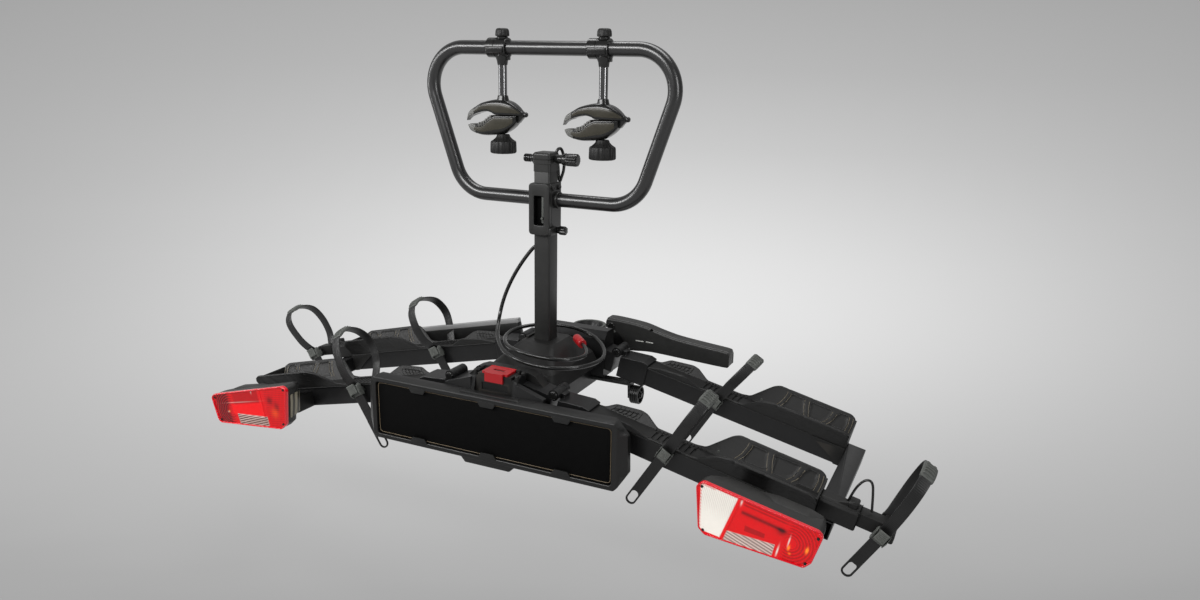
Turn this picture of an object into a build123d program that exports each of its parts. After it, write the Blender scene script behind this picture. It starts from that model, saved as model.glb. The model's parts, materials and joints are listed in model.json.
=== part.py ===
from build123d import *
import math
import os

# Folding two-bike rack for a 50 mm towball, millimetres.
# X runs to the right seen from behind the car, Y points towards the car, Z is up.
# The origin is the centre of the towball.
# A wing is drawn flat first: s runs outwards from the middle of the car, h stands square to the wing.

# Layout
WING_DROOP = 12.8
APEX_Z = 83.3
FRONT_RAIL_Y = -372.0
REAR_RAIL_Y = -82.0
RAIL_ROWS = (FRONT_RAIL_Y, REAR_RAIL_Y)

# Rail tubes and end bar
TUBE_W = 44.0
TUBE_H = 40.0
TUBE_WALL = 2.5
TUBE_TOP = -44.0
TUBE_END = 642.0
END_BAR_W = 36.0
END_BAR_DROP = 6.0

# Wing hinges
PIVOT_S = 128.0
PIVOT_H = -36.0
PIN_R = 5.0
PIN_CLEAR = 0.05
BARREL_R = 11.0
BARREL_GAP = 0.5
LUG_W = 22.0
HUB_ARM_W = 48.0
SLEEVE_WALL = 4.0
SLEEVE_END = 205.0

# Wheel trays
TRAY_START = 205.0
TRAY_FLOOR = 3.0
TRAY_WALL = 3.0
TRAY_FLOOR_HALF = 24.0
TRAY_TOP_HALF = 49.0
TRAY_LOW_H = -38.0
LADDER_START = 330.0
LADDER_SLOTS = 8
LADDER_PITCH = 11.0
RIB_PROUD = 1.6

# Wheel strap extensions
EXT_BAR_W = 30.0
EXT_BAR_H = 24.6
EXT_BAR_LOW = -40.6
EXT_GUIDE_END = 728.0
EXT_CLEAR = 0.4
EXT_INNER_S = 596.0
EXT_STRAP_S = 758.0
SADDLE_HALF = 27.0

# Ratchet straps
STRAP_S = 372.0
STRAP_LEAN = 19.0
STRAP_W = 26.0
STRAP_T = 2.5
STRAP_HALF = 50.0
STRAP_FOOT_Y = 31.0
STRAP_TOP = 122.0
STRAP_TAIL = 112.0
STRAP_BEND = 30.0
STRAP_HOOK_TOP = -9.0

# Mast, bike-frame hoop and its bracket
MAST_Y = -212.0
MAST_W = 36.0
MAST_D = 38.0
MAST_WALL = 2.5
MAST_TOP = 432.0
MAST_CORNER = 4.0
CAP_H = 22.0
CAP_SKIRT = 16.0
LANYARD_R = 2.0
HOOP_Y = -208.0
HOOP_R = 14.0
HOOP_WALL = 2.0
HOOP_LOW_Z = 359.0
HOOP_TOP_Z = 653.0
HOOP_LOW_HALF = 197.0
HOOP_TOP_HALF = 298.0
HOOP_BEND = 75.0
BRACKET_HALF = 23.0
BRACKET_LOW = 290.0
BRACKET_HIGH = 394.0
BRACKET_CLEAR = 0.35
SOCKET_R = 18.0
SOCKET_LEN = 12.0

# Bike-frame arms
ARM_XS = {"left": -101.0, "right": 122.0}
COLLAR_R = 19.5
COLLAR_CLEAR = 0.08
COLLAR_LEFT = 30.0
COLLAR_RIGHT = 14.0
ROD_R = 8.0
JAW_Z = 522.0
JAW_HALF_W = 19.0
JAW_PIN_X = 44.0
JAW_SEAM_X = 12.0
JAW_PIN_Z = 3.0
JAW_LUG_HALF = 6.0
JAW_KNOB_R = 27.0

# Hub, tilt pivot and latch
HUB_FRONT = -400.0
HUB_REAR = -60.0
HUB_HALF = 58.0
HUB_LOW = -42.0
HUB_DECK = -5.0
HUB_WALL = 10.0
SPINE_HALF = 32.0
SPINE_LOW = -85.0
SPINE_HIGH = -45.0
TILT_Y = -385.0
TILT_R = 20.0
FORK_GAP = 0.5
FORK_W = 11.0
COVER_TOP = 66.0
COVER_W = 172.0
COVER_L = 228.0
COVER_SLOPE = 22.0
LATCH_HALF = 37.0
LATCH_FRONT = -417.0
LATCH_BACK = -378.0
LATCH_LOW = 8.0
LATCH_TOP = 47.0

# Number plate holder
PLATE_Y = -442.0
PLATE_W = 524.0
PLATE_H = 112.0
PLATE_ROOM = 3.0
HOLDER_FRONT = -448.0
HOLDER_BACK = -424.0
LUG_PITCH = 160.0

# Coupling and lever
BALL_R = 25.0
BALL_CLEAR = 0.2
CUP_R = 39.0
CUP_TOP = 40.0
CUP_LOW = -30.0
LEVER_PIN_X = 64.0
LEVER_PIN_Z = 50.0
LEVER_HALF_W = 17.0
LEVER_PLATE = 3.5
LEVER_TIP = 343.0

# Lamps
LAMP_FRONT = -510.0
LAMP_LENS_T = 9.0
LAMP_BACK = -440.0

# Trolley wheels
WHEEL_X = 165.0
WHEEL_Y = -102.0
WHEEL_Z = -69.5
WHEEL_R = 20.0
WHEEL_W = 20.0
AXLE_R = 5.0

# Security cable
CABLE_R = 4.0
CAP_R = 8.0


def side_plate(points, y_low, y_high):
    """Outline in X and Z, extruded along Y."""
    outline = make_face(Polyline(*[(x, y_low, z) for x, z in points], close=True))
    return extrude(outline, amount=y_high - y_low, dir=(0, 1, 0))


def cross_plate(points, x_low, x_high):
    """Outline in Y and Z, extruded along X."""
    outline = make_face(Polyline(*[(x_low, y, z) for y, z in points], close=True))
    return extrude(outline, amount=x_high - x_low, dir=(1, 0, 0))


def block(x_low, x_high, y_low, y_high, z_low, z_high):
    """Box given by its six faces."""
    centre = Pos((x_low + x_high) / 2, (y_low + y_high) / 2, (z_low + z_high) / 2)
    return centre * Box(x_high - x_low, y_high - y_low, z_high - z_low)


def bar_x(x_low, x_high, y, z, radius):
    """Round bar along X."""
    return Pos((x_low + x_high) / 2, y, z) * Rot(0, 90, 0) * Cylinder(radius, x_high - x_low)


def bar_y(x, y_low, y_high, z, radius):
    """Round bar along Y."""
    return Pos(x, (y_low + y_high) / 2, z) * Rot(90, 0, 0) * Cylinder(radius, y_high - y_low)


def bar_z(x, y, z_low, z_high, radius):
    """Round bar along Z."""
    return Pos(x, y, (z_low + z_high) / 2) * Cylinder(radius, z_high - z_low)


def on_right(shape):
    """Sets a flat right wing shape at its droop."""
    return Pos(0, 0, APEX_Z) * Rot(0, WING_DROOP, 0) * shape


def on_left(shape):
    """Mirror image of a right wing shape."""
    return mirror(on_right(shape), about=Plane.YZ)


PLACE = {"right": on_right, "left": on_left}


def save(shape, node):
    """Writes one node."""
    export_step(shape, f"parts/{node}.step")


# Derived places on the wings
TUBE_LOW = TUBE_TOP - TUBE_H
TUBE_START = PIVOT_S + BARREL_R + 1.0
HUB_ARM_END = PIVOT_S - 2.0
END_BAR_TOP = TUBE_TOP - END_BAR_DROP
WALL_RISE = -TUBE_TOP


def rect_tube(s_low, s_high, row):
    """Hollow rectangular rail tube."""
    half = TUBE_W / 2
    outer = block(s_low, s_high, row - half, row + half, TUBE_LOW, TUBE_TOP)
    inner = block(s_low - 1, s_high + 1, row - half + TUBE_WALL, row + half - TUBE_WALL,
                  TUBE_LOW + TUBE_WALL, TUBE_TOP - TUBE_WALL)
    return outer - inner


def rail_frame():
    """Two rail tubes welded to one end bar."""
    half = TUBE_W / 2
    low = FRONT_RAIL_Y - half
    high = REAR_RAIL_Y + half
    outer = block(TUBE_END, TUBE_END + END_BAR_W, low, high, TUBE_LOW, END_BAR_TOP)
    inner = block(TUBE_END + TUBE_WALL, TUBE_END + END_BAR_W - TUBE_WALL, low - 1, high + 1,
                  TUBE_LOW + TUBE_WALL, END_BAR_TOP - TUBE_WALL)
    frame = outer - inner
    for row in RAIL_ROWS:
        frame = frame + rect_tube(TUBE_START, TUBE_END, row)
    return frame


def hinge_arm(row):
    """Cast sleeve on a rail tube with the lug of its fold hinge."""
    half = TUBE_W / 2 + SLEEVE_WALL
    low = TUBE_LOW - 3.0
    body = side_plate([(TUBE_START, low), (SLEEVE_END, low), (SLEEVE_END, TUBE_TOP + 8.0),
                       (SLEEVE_END - 12, TUBE_TOP + 11.0), (TUBE_START + 8, TUBE_TOP + 4.0),
                       (TUBE_START, TUBE_TOP + 3.0)], row - half, row + half)
    body -= block(TUBE_START - 1, SLEEVE_END + 1, row - TUBE_W / 2, row + TUBE_W / 2, TUBE_LOW, TUBE_TOP)
    lug_half = LUG_W / 2
    lug = bar_y(PIVOT_S, row - lug_half, row + lug_half, PIVOT_H, BARREL_R)
    lug += block(PIVOT_S, TUBE_START + 6, row - lug_half, row + lug_half, TUBE_TOP, PIVOT_H + 4)
    arm = body + lug
    return arm - bar_y(PIVOT_S, row - half, row + half, PIVOT_H, PIN_R + PIN_CLEAR)


def hub_arm(row):
    """Drooped arm of the hub with the two ears of a fold hinge, drawn flat."""
    half = HUB_ARM_W / 2
    lug_half = LUG_W / 2 + BARREL_GAP
    top = TUBE_TOP + 4
    low = TUBE_LOW + 20
    slope = math.tan(math.radians(WING_DROOP))
    arm = side_plate([(30, TUBE_LOW), (HUB_ARM_END, TUBE_LOW), (HUB_ARM_END, top), (-top * slope, top),
                      (-low * slope, low)], row - half, row + half)
    arm += bar_y(PIVOT_S, row - half, row + half, PIVOT_H, BARREL_R)
    reach = BARREL_R + BARREL_GAP
    arm -= bar_y(PIVOT_S, row - lug_half, row + lug_half, PIVOT_H, reach)
    arm -= block(PIVOT_S, PIVOT_S + 2 * reach, row - lug_half, row + lug_half, PIVOT_H - reach, PIVOT_H + reach)
    return arm - bar_y(PIVOT_S, row - half - 1, row + half + 1, PIVOT_H, PIN_R + PIN_CLEAR)


def hinge_pin(row):
    """Headed pin through the ears and lug of a fold hinge."""
    half = HUB_ARM_W / 2
    pin = bar_y(PIVOT_S, row - half, row + half, PIVOT_H, PIN_R)
    for side in (-1, 1):
        face = row + side * half
        pin += bar_y(PIVOT_S, min(face, face + side * 3), max(face, face + side * 3), PIVOT_H, PIN_R + 3)
    return pin


def channel(row, inset, s_low, s_high):
    """Solid of the flared channel, its walls moved inwards by inset."""
    top = 6.0
    slope = (TRAY_TOP_HALF - TRAY_FLOOR_HALF) / WALL_RISE
    across = inset * math.hypot(1, slope)
    low = TUBE_TOP + (TRAY_FLOOR if inset else 0)
    low_half = TRAY_FLOOR_HALF + slope * (low - TUBE_TOP) - across
    top_half = TRAY_FLOOR_HALF + slope * (top - TUBE_TOP) - across
    return cross_plate([(row - low_half, low), (row + low_half, low), (row + top_half, top), (row - top_half, top)],
                       s_low, s_high)


def tray_outline(peak_s, raise_h):
    """Side outline of one tray wall: inner lobe, ladder dip and outer lobe."""
    return [(TRAY_START, TUBE_TOP - 1), (TRAY_START, TUBE_TOP + 3), (227, -33), (240, -29), (286, -23.5),
            (296, -25.5), (325, -39), (340, TRAY_LOW_H), (405, TRAY_LOW_H), (424, -35), (462, -5 + raise_h),
            (peak_s, raise_h), (628, raise_h - 2), (640, -7), (TUBE_END, -16), (TUBE_END, TUBE_TOP - 1)]


def tray(row, with_opening):
    """Moulded wheel tray with flared walls, rib fields and strap ladder."""
    shell = channel(row, 0, TRAY_START, TUBE_END) - channel(row, TRAY_WALL, TRAY_START - 1, TUBE_END - TRAY_WALL)
    near = side_plate(tray_outline(482, 1.0), row - 70, row)
    far = side_plate(tray_outline(474, 2.0), row, row + 70)
    body = shell & (near + far)
    strips = []
    for start in (478, 516, 554, 592):
        strips.append([(start, -34), (start + 3, -34), (start + 15, -3), (start + 12, -3)])
    for start in (236, 258, 280):
        strips.append([(start, -37), (start + 2.5, -37), (start + 6.5, -28), (start + 4, -28)])
    strips.append([(478, -34), (610, -34), (610, -31), (478, -31)])
    band = channel(row, TRAY_WALL - 0.2, TRAY_START, TUBE_END - 4) - channel(row, TRAY_WALL + RIB_PROUD, TRAY_START - 1,
                                                                            TUBE_END)
    for strip in strips:
        body += band & side_plate(strip, row - 70, row + 70)
    for index in range(LADDER_SLOTS):
        start = LADDER_START + index * LADDER_PITCH
        body -= block(start, start + 5, row - 14, row + 14, TUBE_TOP - 1, TUBE_TOP + TRAY_FLOOR + 1)
    half = TUBE_W / 2
    for side in (-1, 1):
        skirt = side_plate([(566, TUBE_TOP + 1), (584, -52), (629, TUBE_LOW), (TUBE_END, TUBE_LOW), (TUBE_END, TUBE_TOP + 1)],
                           min(side * half, side * (half + 4)) + row, max(side * half, side * (half + 4)) + row)
        body += skirt
    if with_opening:
        half = EXT_BAR_W / 2 + EXT_CLEAR
        body -= block(TUBE_END - 2 * TRAY_WALL, TUBE_END + 1, row - half, row + half,
                      EXT_BAR_LOW - EXT_CLEAR, EXT_BAR_LOW + EXT_BAR_H + EXT_CLEAR)
    else:
        body -= bar_x(TUBE_END - 2 * TRAY_WALL, TUBE_END + 1, row + 18, -24, 4)
        body -= bar_x(TUBE_END - 2 * TRAY_WALL, TUBE_END + 1, row - 18, -24, 4)
    return body


def extension_guide(row):
    """Fixed sleeve on the end bar that an extension bar slides in."""
    half = EXT_BAR_W / 2 + EXT_CLEAR
    outer = block(TUBE_END, EXT_GUIDE_END, row - half - 4, row + half + 4, END_BAR_TOP,
                  EXT_BAR_LOW + EXT_BAR_H + EXT_CLEAR + 3)
    inner = block(TUBE_END - 1, EXT_GUIDE_END + 1, row - half, row + half, EXT_BAR_LOW - EXT_CLEAR,
                  EXT_BAR_LOW + EXT_BAR_H + EXT_CLEAR)
    return outer - inner


def extension_bar(row):
    """Sliding bar with the saddle that carries the outermost wheel strap."""
    half = EXT_BAR_W / 2
    high = EXT_BAR_LOW + EXT_BAR_H
    bar = block(EXT_INNER_S, EXT_STRAP_S, row - half, row + half, EXT_BAR_LOW, high)
    bar -= block(EXT_INNER_S - 1, EXT_STRAP_S - 20, row - half + 3, row + half - 3, EXT_BAR_LOW + 3, high - 3)
    wide = SADDLE_HALF
    saddle = cross_plate([(row - wide, EXT_BAR_LOW - 4), (row + wide, EXT_BAR_LOW - 4), (row + wide, high - 8),
                          (row + wide - 11, high + 4), (row + 11 - wide, high + 4), (row - wide, high - 8)],
                         EXT_STRAP_S - 15, EXT_STRAP_S + 17)
    return bar + saddle


def strap_frame(s, h):
    """Plane of a strap: its x is the band's width, its y is Y and its z runs up the strap."""
    return Pos(s, 0, h) * Rot(0, STRAP_LEAN, 0)


def strap_band(seat):
    """Band looped over the wheel, with a slotted tail; seat is the half width of what it clips to."""
    foot = STRAP_FOOT_Y
    route = FilletPolyline((0, foot, -6), (0, STRAP_HALF, 50), (0, STRAP_HALF - 16, STRAP_TOP),
                           (0, 16 - STRAP_HALF, STRAP_TOP), (0, -STRAP_HALF, 50), (0, -foot - 2, -4),
                           (0, -foot - 3, -STRAP_TAIL), radius=[STRAP_BEND, STRAP_BEND, STRAP_BEND, STRAP_BEND, 12])
    section = Plane(origin=route @ 0, x_dir=(1, 0, 0), z_dir=route % 0) * Rectangle(STRAP_W, STRAP_T)
    band = sweep(section, path=route)
    slot_low = -STRAP_TAIL + 6
    slot = block(-7, 7, -foot - 12, -foot + 6, slot_low + 7, slot_low + 22)
    slot += bar_y(0, -foot - 12, -foot + 6, slot_low + 7, 7)
    slot += bar_y(0, -foot - 12, -foot + 6, slot_low + 22, 7)
    foot_clip = block(-STRAP_W / 2, STRAP_W / 2, foot - 2.2, foot + 5, -20, -6.3)
    foot_clip += block(-STRAP_W / 2, STRAP_W / 2, seat, foot + 5, -20, STRAP_HOOK_TOP)
    return band - slot + foot_clip


def strap_fittings(band, seat):
    """Ribbed rim pad at the top of the loop and the ratchet buckle clipped on at half width seat."""
    pad = block(-STRAP_W / 2 - 2.5, STRAP_W / 2 + 2.5, -19, 19, STRAP_TOP - 4.5, STRAP_TOP + 4.5)
    for index in range(7):
        groove = -15 + 5 * index
        pad -= block(-STRAP_W, STRAP_W, groove - 0.9, groove + 0.9, STRAP_TOP + 3.2, STRAP_TOP + 5)
    near = -STRAP_FOOT_Y - 2
    buckle = block(-STRAP_W / 2 - 2.5, STRAP_W / 2 + 2.5, near - 11, near + 4.2, -20, 16)
    buckle -= block(-STRAP_W / 2 + 2, STRAP_W / 2 - 2, near - 12, near - 5, -21, 17)
    buckle += block(-STRAP_W / 2, STRAP_W / 2, near + 4, -seat, -20, STRAP_HOOK_TOP)
    hinge = bar_x(-STRAP_W / 2 - 2.5, STRAP_W / 2 + 2.5, near - 8, -14, 1.5)
    return pad - band + (buckle + hinge - band)


def ratchet_lever():
    """Lever of a ratchet buckle, closed against the strap."""
    near = -STRAP_FOOT_Y - 2
    half = STRAP_W / 2 - 2.4
    lever = block(-half, half, near - 13, near - 10, -13, 12)
    lever += side_plate([(-half, 12), (half, 12), (half - 4, 20), (4 - half, 20)], near - 14.5, near - 10)
    lever += bar_x(-half, half, near - 8, -14, 2.8)
    lever += block(-half, half, near - 12, near - 7, -15.5, -12)
    return lever - bar_x(-STRAP_W, STRAP_W, near - 8, -14, 1.5 + PIN_CLEAR)


LAMP_SHAPE = [(456, -14), (468, -4), (668, -8), (677, -15), (672, -68), (661, -79), (493, -100), (480, -94)]


def lamp_section(y, shrink):
    """Outline of a lamp at one depth, drawn in by shrink."""
    centre_s = sum(s for s, h in LAMP_SHAPE) / len(LAMP_SHAPE)
    centre_h = sum(h for s, h in LAMP_SHAPE) / len(LAMP_SHAPE)
    points = []
    for s, h in LAMP_SHAPE:
        reach = math.hypot(s - centre_s, h - centre_h)
        keep = 1 - shrink / reach
        points.append((centre_s + (s - centre_s) * keep, y, centre_h + (h - centre_h) * keep))
    return make_face(Polyline(*points, close=True))


def lamp_housing():
    """Lamp back shell with the bracket that bolts it to the front rail."""
    seat = LAMP_FRONT + LAMP_LENS_T
    shell = loft([lamp_section(seat, 1.5), lamp_section(seat + 22, 1.5), lamp_section(LAMP_BACK, 12)], ruled=True)
    shell -= loft([lamp_section(seat - 1, 4.5), lamp_section(seat + 22, 4.5), lamp_section(LAMP_BACK - 4, 14)], ruled=True)
    near = FRONT_RAIL_Y - TUBE_W / 2
    bracket = block(500, 556, LAMP_BACK - 1, near, TUBE_LOW + 3, TUBE_TOP - 4)
    return shell + bracket


def lamp_lens():
    """Lamp lens with a stepped rim."""
    return loft([lamp_section(LAMP_FRONT, 5), lamp_section(LAMP_FRONT + 3, 0), lamp_section(LAMP_FRONT + LAMP_LENS_T, 0)],
                ruled=True)


def lead_loop():
    """Lamp lead that stands in a small loop between tray end and extension guide."""
    row = FRONT_RAIL_Y
    high = EXT_BAR_LOW + EXT_BAR_H + EXT_CLEAR + 3
    route = FilletPolyline((TUBE_END + 14, row + 8, high), (TUBE_END + 14, row + 8, high + 18),
                           (TUBE_END + 24, row + 8, high + 38), (TUBE_END + 48, row + 8, high + 44),
                           (TUBE_END + 62, row + 8, high + 26), (TUBE_END + 62, row + 8, high),
                           radius=[18, 9, 9, 12])
    section = Plane(origin=route @ 0, z_dir=route % 0) * Circle(1.8)
    return sweep(section, path=route)


def coupling_housing():
    """Cast cup over the towball with the lever's bearing cheek."""
    body = bar_z(0, 0, CUP_LOW, CUP_TOP, CUP_R)
    cheek = bar_y(82, -12.5, 12.5, 18, 25)
    neck = side_plate([(52, 50), (58, 40), (66, 20), (95, 30), (76, 52)], -12.5, 12.5)
    boss = bar_y(LEVER_PIN_X, -12.5, 12.5, LEVER_PIN_Z, 11)
    link = block(20, 84, -12.5, 12.5, CUP_LOW + 6, 18)
    foot = block(-SPINE_HALF, SPINE_HALF, -55, 0, SPINE_HIGH, HUB_DECK - 6)
    body = body + cheek + neck + boss + link + foot
    socket_r = BALL_R + BALL_CLEAR
    body -= bar_z(0, 0, SPINE_HIGH - 1, 0, socket_r)
    body -= Sphere(socket_r)
    body -= bar_z(0, 0, 0, CUP_TOP + 1, socket_r - 5)
    body -= Pos(0, 0, CUP_TOP - 8) * Cone(socket_r - 5, 31, 16.1)
    body -= block(-13.3, 13.3, -58, 0, -24, 10)
    body -= bar_y(LEVER_PIN_X, -14, 14, LEVER_PIN_Z, PIN_R + PIN_CLEAR)
    return body


def ball_jaw():
    """Sliding jaw that closes on the ball from the rack's side."""
    jaw = block(-13, 13, -46, -16, -23.5, 9.5)
    return jaw - Sphere(BALL_R + BALL_CLEAR) - bar_z(0, 0, CUP_LOW, 0, BALL_R + BALL_CLEAR)


def spine_beam():
    """Fixed beam from the coupling to the tilt pivot, rounded and notched at its end."""
    beam = cross_plate([(TILT_Y, SPINE_LOW), (-18, SPINE_LOW), (-12, SPINE_HIGH), (TILT_Y, SPINE_HIGH)],
                       -SPINE_HALF, SPINE_HALF)
    beam += bar_x(-SPINE_HALF, SPINE_HALF, TILT_Y, (SPINE_LOW + SPINE_HIGH) / 2, TILT_R)
    beam -= block(6 - SPINE_HALF, SPINE_HALF - 6, TILT_Y + 32, -44, SPINE_LOW - 1, SPINE_HIGH - 6)
    beam -= bar_x(-SPINE_HALF - 1, SPINE_HALF + 1, TILT_Y, (SPINE_LOW + SPINE_HIGH) / 2, PIN_R + 3)
    notch = Pos(0, TILT_Y - 4, SPINE_HIGH) * Rot(15, 0, 0) * Box(28, 9, 12)
    return beam - notch - bar_z(0, 0, SPINE_LOW - 1, SPINE_HIGH + 1, BALL_R + 2)


def lever():
    """Channel-shaped clamping handle."""
    top = [(50, 62), (52, 67.5), (138, 61), (221, 42), (337, 30), (LEVER_TIP, 24)]
    low = [(LEVER_TIP, -3.5), (336, -6.5), (165, 2), (108, -2), (92, 22), (76, 38), (52, 42)]
    body = side_plate(top + low, -LEVER_HALF_W, LEVER_HALF_W)
    top_in = [(40, 60), (53, 63.5), (138, 57.4), (221, 38.4), (LEVER_TIP - LEVER_PLATE, 26)]
    low_in = [(LEVER_TIP - LEVER_PLATE, -10), (165, -20), (40, -20)]
    half_in = LEVER_HALF_W - LEVER_PLATE
    body -= side_plate(top_in + low_in, -half_in, half_in)
    return body - bar_y(LEVER_PIN_X, -20, 20, LEVER_PIN_Z, PIN_R + PIN_CLEAR)


def coupling_pins():
    """Lever pin and tilt pivot pin."""
    pins = bar_y(LEVER_PIN_X, -LEVER_HALF_W - 1, LEVER_HALF_W + 1, LEVER_PIN_Z, PIN_R)
    for side in (-1, 1):
        face = side * (LEVER_HALF_W + 1)
        pins += bar_y(LEVER_PIN_X, min(face, face + side * 3), max(face, face + side * 3), LEVER_PIN_Z, PIN_R + 3)
    reach = SPINE_HALF + FORK_GAP + FORK_W + 1
    tilt_z = (SPINE_LOW + SPINE_HIGH) / 2
    tilt = bar_x(-reach, reach, TILT_Y, tilt_z, PIN_R + 3 - PIN_CLEAR)
    for side in (-1, 1):
        face = side * reach
        tilt += bar_x(min(face, face + side * 3), max(face, face + side * 3), TILT_Y, tilt_z, PIN_R + 7)
    return Compound(children=[pins, tilt])


def hub_frame():
    """Cast middle of the folding platform."""
    deck = block(-HUB_HALF, HUB_HALF, HUB_FRONT, HUB_REAR, HUB_LOW, HUB_DECK)
    deck -= block(HUB_WALL - HUB_HALF, HUB_HALF - HUB_WALL, HUB_FRONT + HUB_WALL + 2, HUB_REAR - HUB_WALL - 2,
                  HUB_LOW - 1, HUB_DECK - HUB_WALL)
    tilt_z = (SPINE_LOW + SPINE_HIGH) / 2
    fork_in = SPINE_HALF + FORK_GAP
    for side in (-1, 1):
        low = min(side * fork_in, side * (fork_in + FORK_W))
        high = max(side * fork_in, side * (fork_in + FORK_W))
        fork = cross_plate([(TILT_Y - 15, tilt_z), (TILT_Y + 15, tilt_z), (TILT_Y + 40, HUB_DECK - HUB_WALL),
                            (TILT_Y - 15, HUB_DECK - HUB_WALL)], low, high)
        deck += fork + bar_x(low, high, TILT_Y, tilt_z, 15)
    deck -= bar_x(-HUB_HALF, HUB_HALF, TILT_Y, tilt_z, PIN_R + 3)
    bridge = cross_plate([(-110, HUB_LOW), (-58, HUB_LOW), (-58, 52), (-66, 60), (-92, 60), (-106, 44), (-110, 10)], -88, 88)
    deck += bridge
    deck += block(-26, 26, MAST_Y - 26, MAST_Y + 26, HUB_DECK - 1, 16)
    for row in RAIL_ROWS:
        arm = hub_arm(row)
        deck += on_right(arm)
        deck += on_left(arm)
    for side in (-1, 1):
        inner = LATCH_HALF + 5
        outer = inner + 8
        low = min(side * inner, side * outer)
        high = max(side * inner, side * outer)
        deck += cross_plate([(HOLDER_BACK, 14), (HOLDER_BACK, -38), (-396, -38), (-380, 10), (-384, 44), (-400, 50),
                             (-417, 40)], low, high)
        gusset = [(side * outer, 12), (side * outer, 38), (side * (outer + 60), 18), (side * (outer + 60), 12)]
        deck += side_plate(gusset, HOLDER_BACK, HOLDER_BACK + 12)
    deck += block(-LATCH_HALF - 13, LATCH_HALF + 13, HOLDER_BACK, -396, -38, 6)
    mast_half_w = MAST_W / 2
    mast_half_d = MAST_D / 2
    deck -= block(-mast_half_w, mast_half_w, MAST_Y - mast_half_d, MAST_Y + mast_half_d, HUB_DECK, 17)
    deck -= block(-LATCH_HALF - 5, LATCH_HALF + 5, LATCH_FRONT, LATCH_BACK, LATCH_LOW, APEX_Z)
    deck -= block(-10.4, 10.4, -395.4, -386.6, HUB_LOW - 2, APEX_Z)
    return deck


def hub_cover():
    """Moulded cover over the hub, sloping up to the mast, and the hump behind the latch."""
    wide = COVER_W - COVER_SLOPE
    long = COVER_L - COVER_SLOPE - 10
    top_w = MAST_W + 40
    top_l = MAST_D + 46
    middle = (FRONT_RAIL_Y + REAR_RAIL_Y) / 2
    base = Plane.XY.offset(HUB_DECK) * Pos(0, middle) * RectangleRounded(COVER_W, COVER_L, 20)
    shoulder = Plane.XY.offset(26) * Pos(0, middle + 3) * RectangleRounded(wide, long, 18)
    top = Plane.XY.offset(COVER_TOP) * Pos(0, MAST_Y) * RectangleRounded(top_w, top_l, 10)
    base_in = Plane.XY.offset(HUB_DECK) * Pos(0, middle) * RectangleRounded(COVER_W - 6, COVER_L - 6, 17)
    shoulder_in = Plane.XY.offset(24) * Pos(0, middle + 3) * RectangleRounded(wide - 6, long - 6, 15)
    top_in = Plane.XY.offset(COVER_TOP - 3) * Pos(0, MAST_Y) * RectangleRounded(top_w - 4, top_l - 4, 8)
    cover = loft([base, shoulder, top], ruled=True) - loft([base_in, shoulder_in, top_in], ruled=True)
    cover += block(2 - top_w / 2, -4, MAST_Y + 26, MAST_Y + 32, COVER_TOP - 1, COVER_TOP + 4)
    cover += block(2 - top_w / 2, 7 - top_w / 2, MAST_Y - 20, MAST_Y + 32, COVER_TOP - 1, COVER_TOP + 4)
    cover -= block(-MAST_W / 2, MAST_W / 2, MAST_Y - MAST_D / 2, MAST_Y + MAST_D / 2, -10, 90)
    cover -= block(-26, 26, MAST_Y - 26, MAST_Y + 26, HUB_DECK - 1, 16)
    arm_top = TUBE_TOP + 4
    slope = math.tan(math.radians(WING_DROOP))
    middle = APEX_Z + arm_top / math.cos(math.radians(WING_DROOP))
    hump = side_plate([(-84, middle - 84 * slope), (-66, 42), (-50, 48), (50, 48), (66, 42), (84, middle - 84 * slope),
                       (0, middle)], -376, -352)
    return cover + hump


def mast_post(low, high, grow):
    """Square post round the mast's axis, wider than the mast by grow on each side."""
    half_w = MAST_W / 2 + grow
    half_d = MAST_D / 2 + grow
    post = block(-half_w, half_w, MAST_Y - half_d, MAST_Y + half_d, low, high)
    return fillet(post.edges().filter_by(Axis.Z), MAST_CORNER + grow / 2)


def mast_tube():
    """Square mast with the clip that holds the security cable's end."""
    low = HUB_DECK
    half_w = MAST_W / 2
    half_d = MAST_D / 2
    mast = mast_post(low, MAST_TOP, 0)
    x, y, z = CABLE_ROUTE[0]
    mast += block(x - 9, x + 5, MAST_Y + half_d, y + CABLE_R + 3, z - 9, z + 7)
    mast -= block(MAST_WALL - half_w, half_w - MAST_WALL, MAST_Y - half_d + MAST_WALL,
                  MAST_Y + half_d - MAST_WALL, low - 1, MAST_TOP + 1)
    return mast - security_cable()


def mast_cap():
    """Cap that carries the lock bolt, with a skirt round the mast's end."""
    cap = mast_post(MAST_TOP, MAST_TOP + CAP_H, 2)
    cap = chamfer(cap.faces().sort_by(Axis.Z)[-1].edges(), 2)
    skirt = mast_post(MAST_TOP - CAP_SKIRT, MAST_TOP, 1.2) - mast_post(MAST_TOP - CAP_SKIRT - 1, MAST_TOP, 0)
    return cap + skirt - bar_x(-40, 40, MAST_Y, MAST_TOP + 9, PIN_R + PIN_CLEAR)


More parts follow.
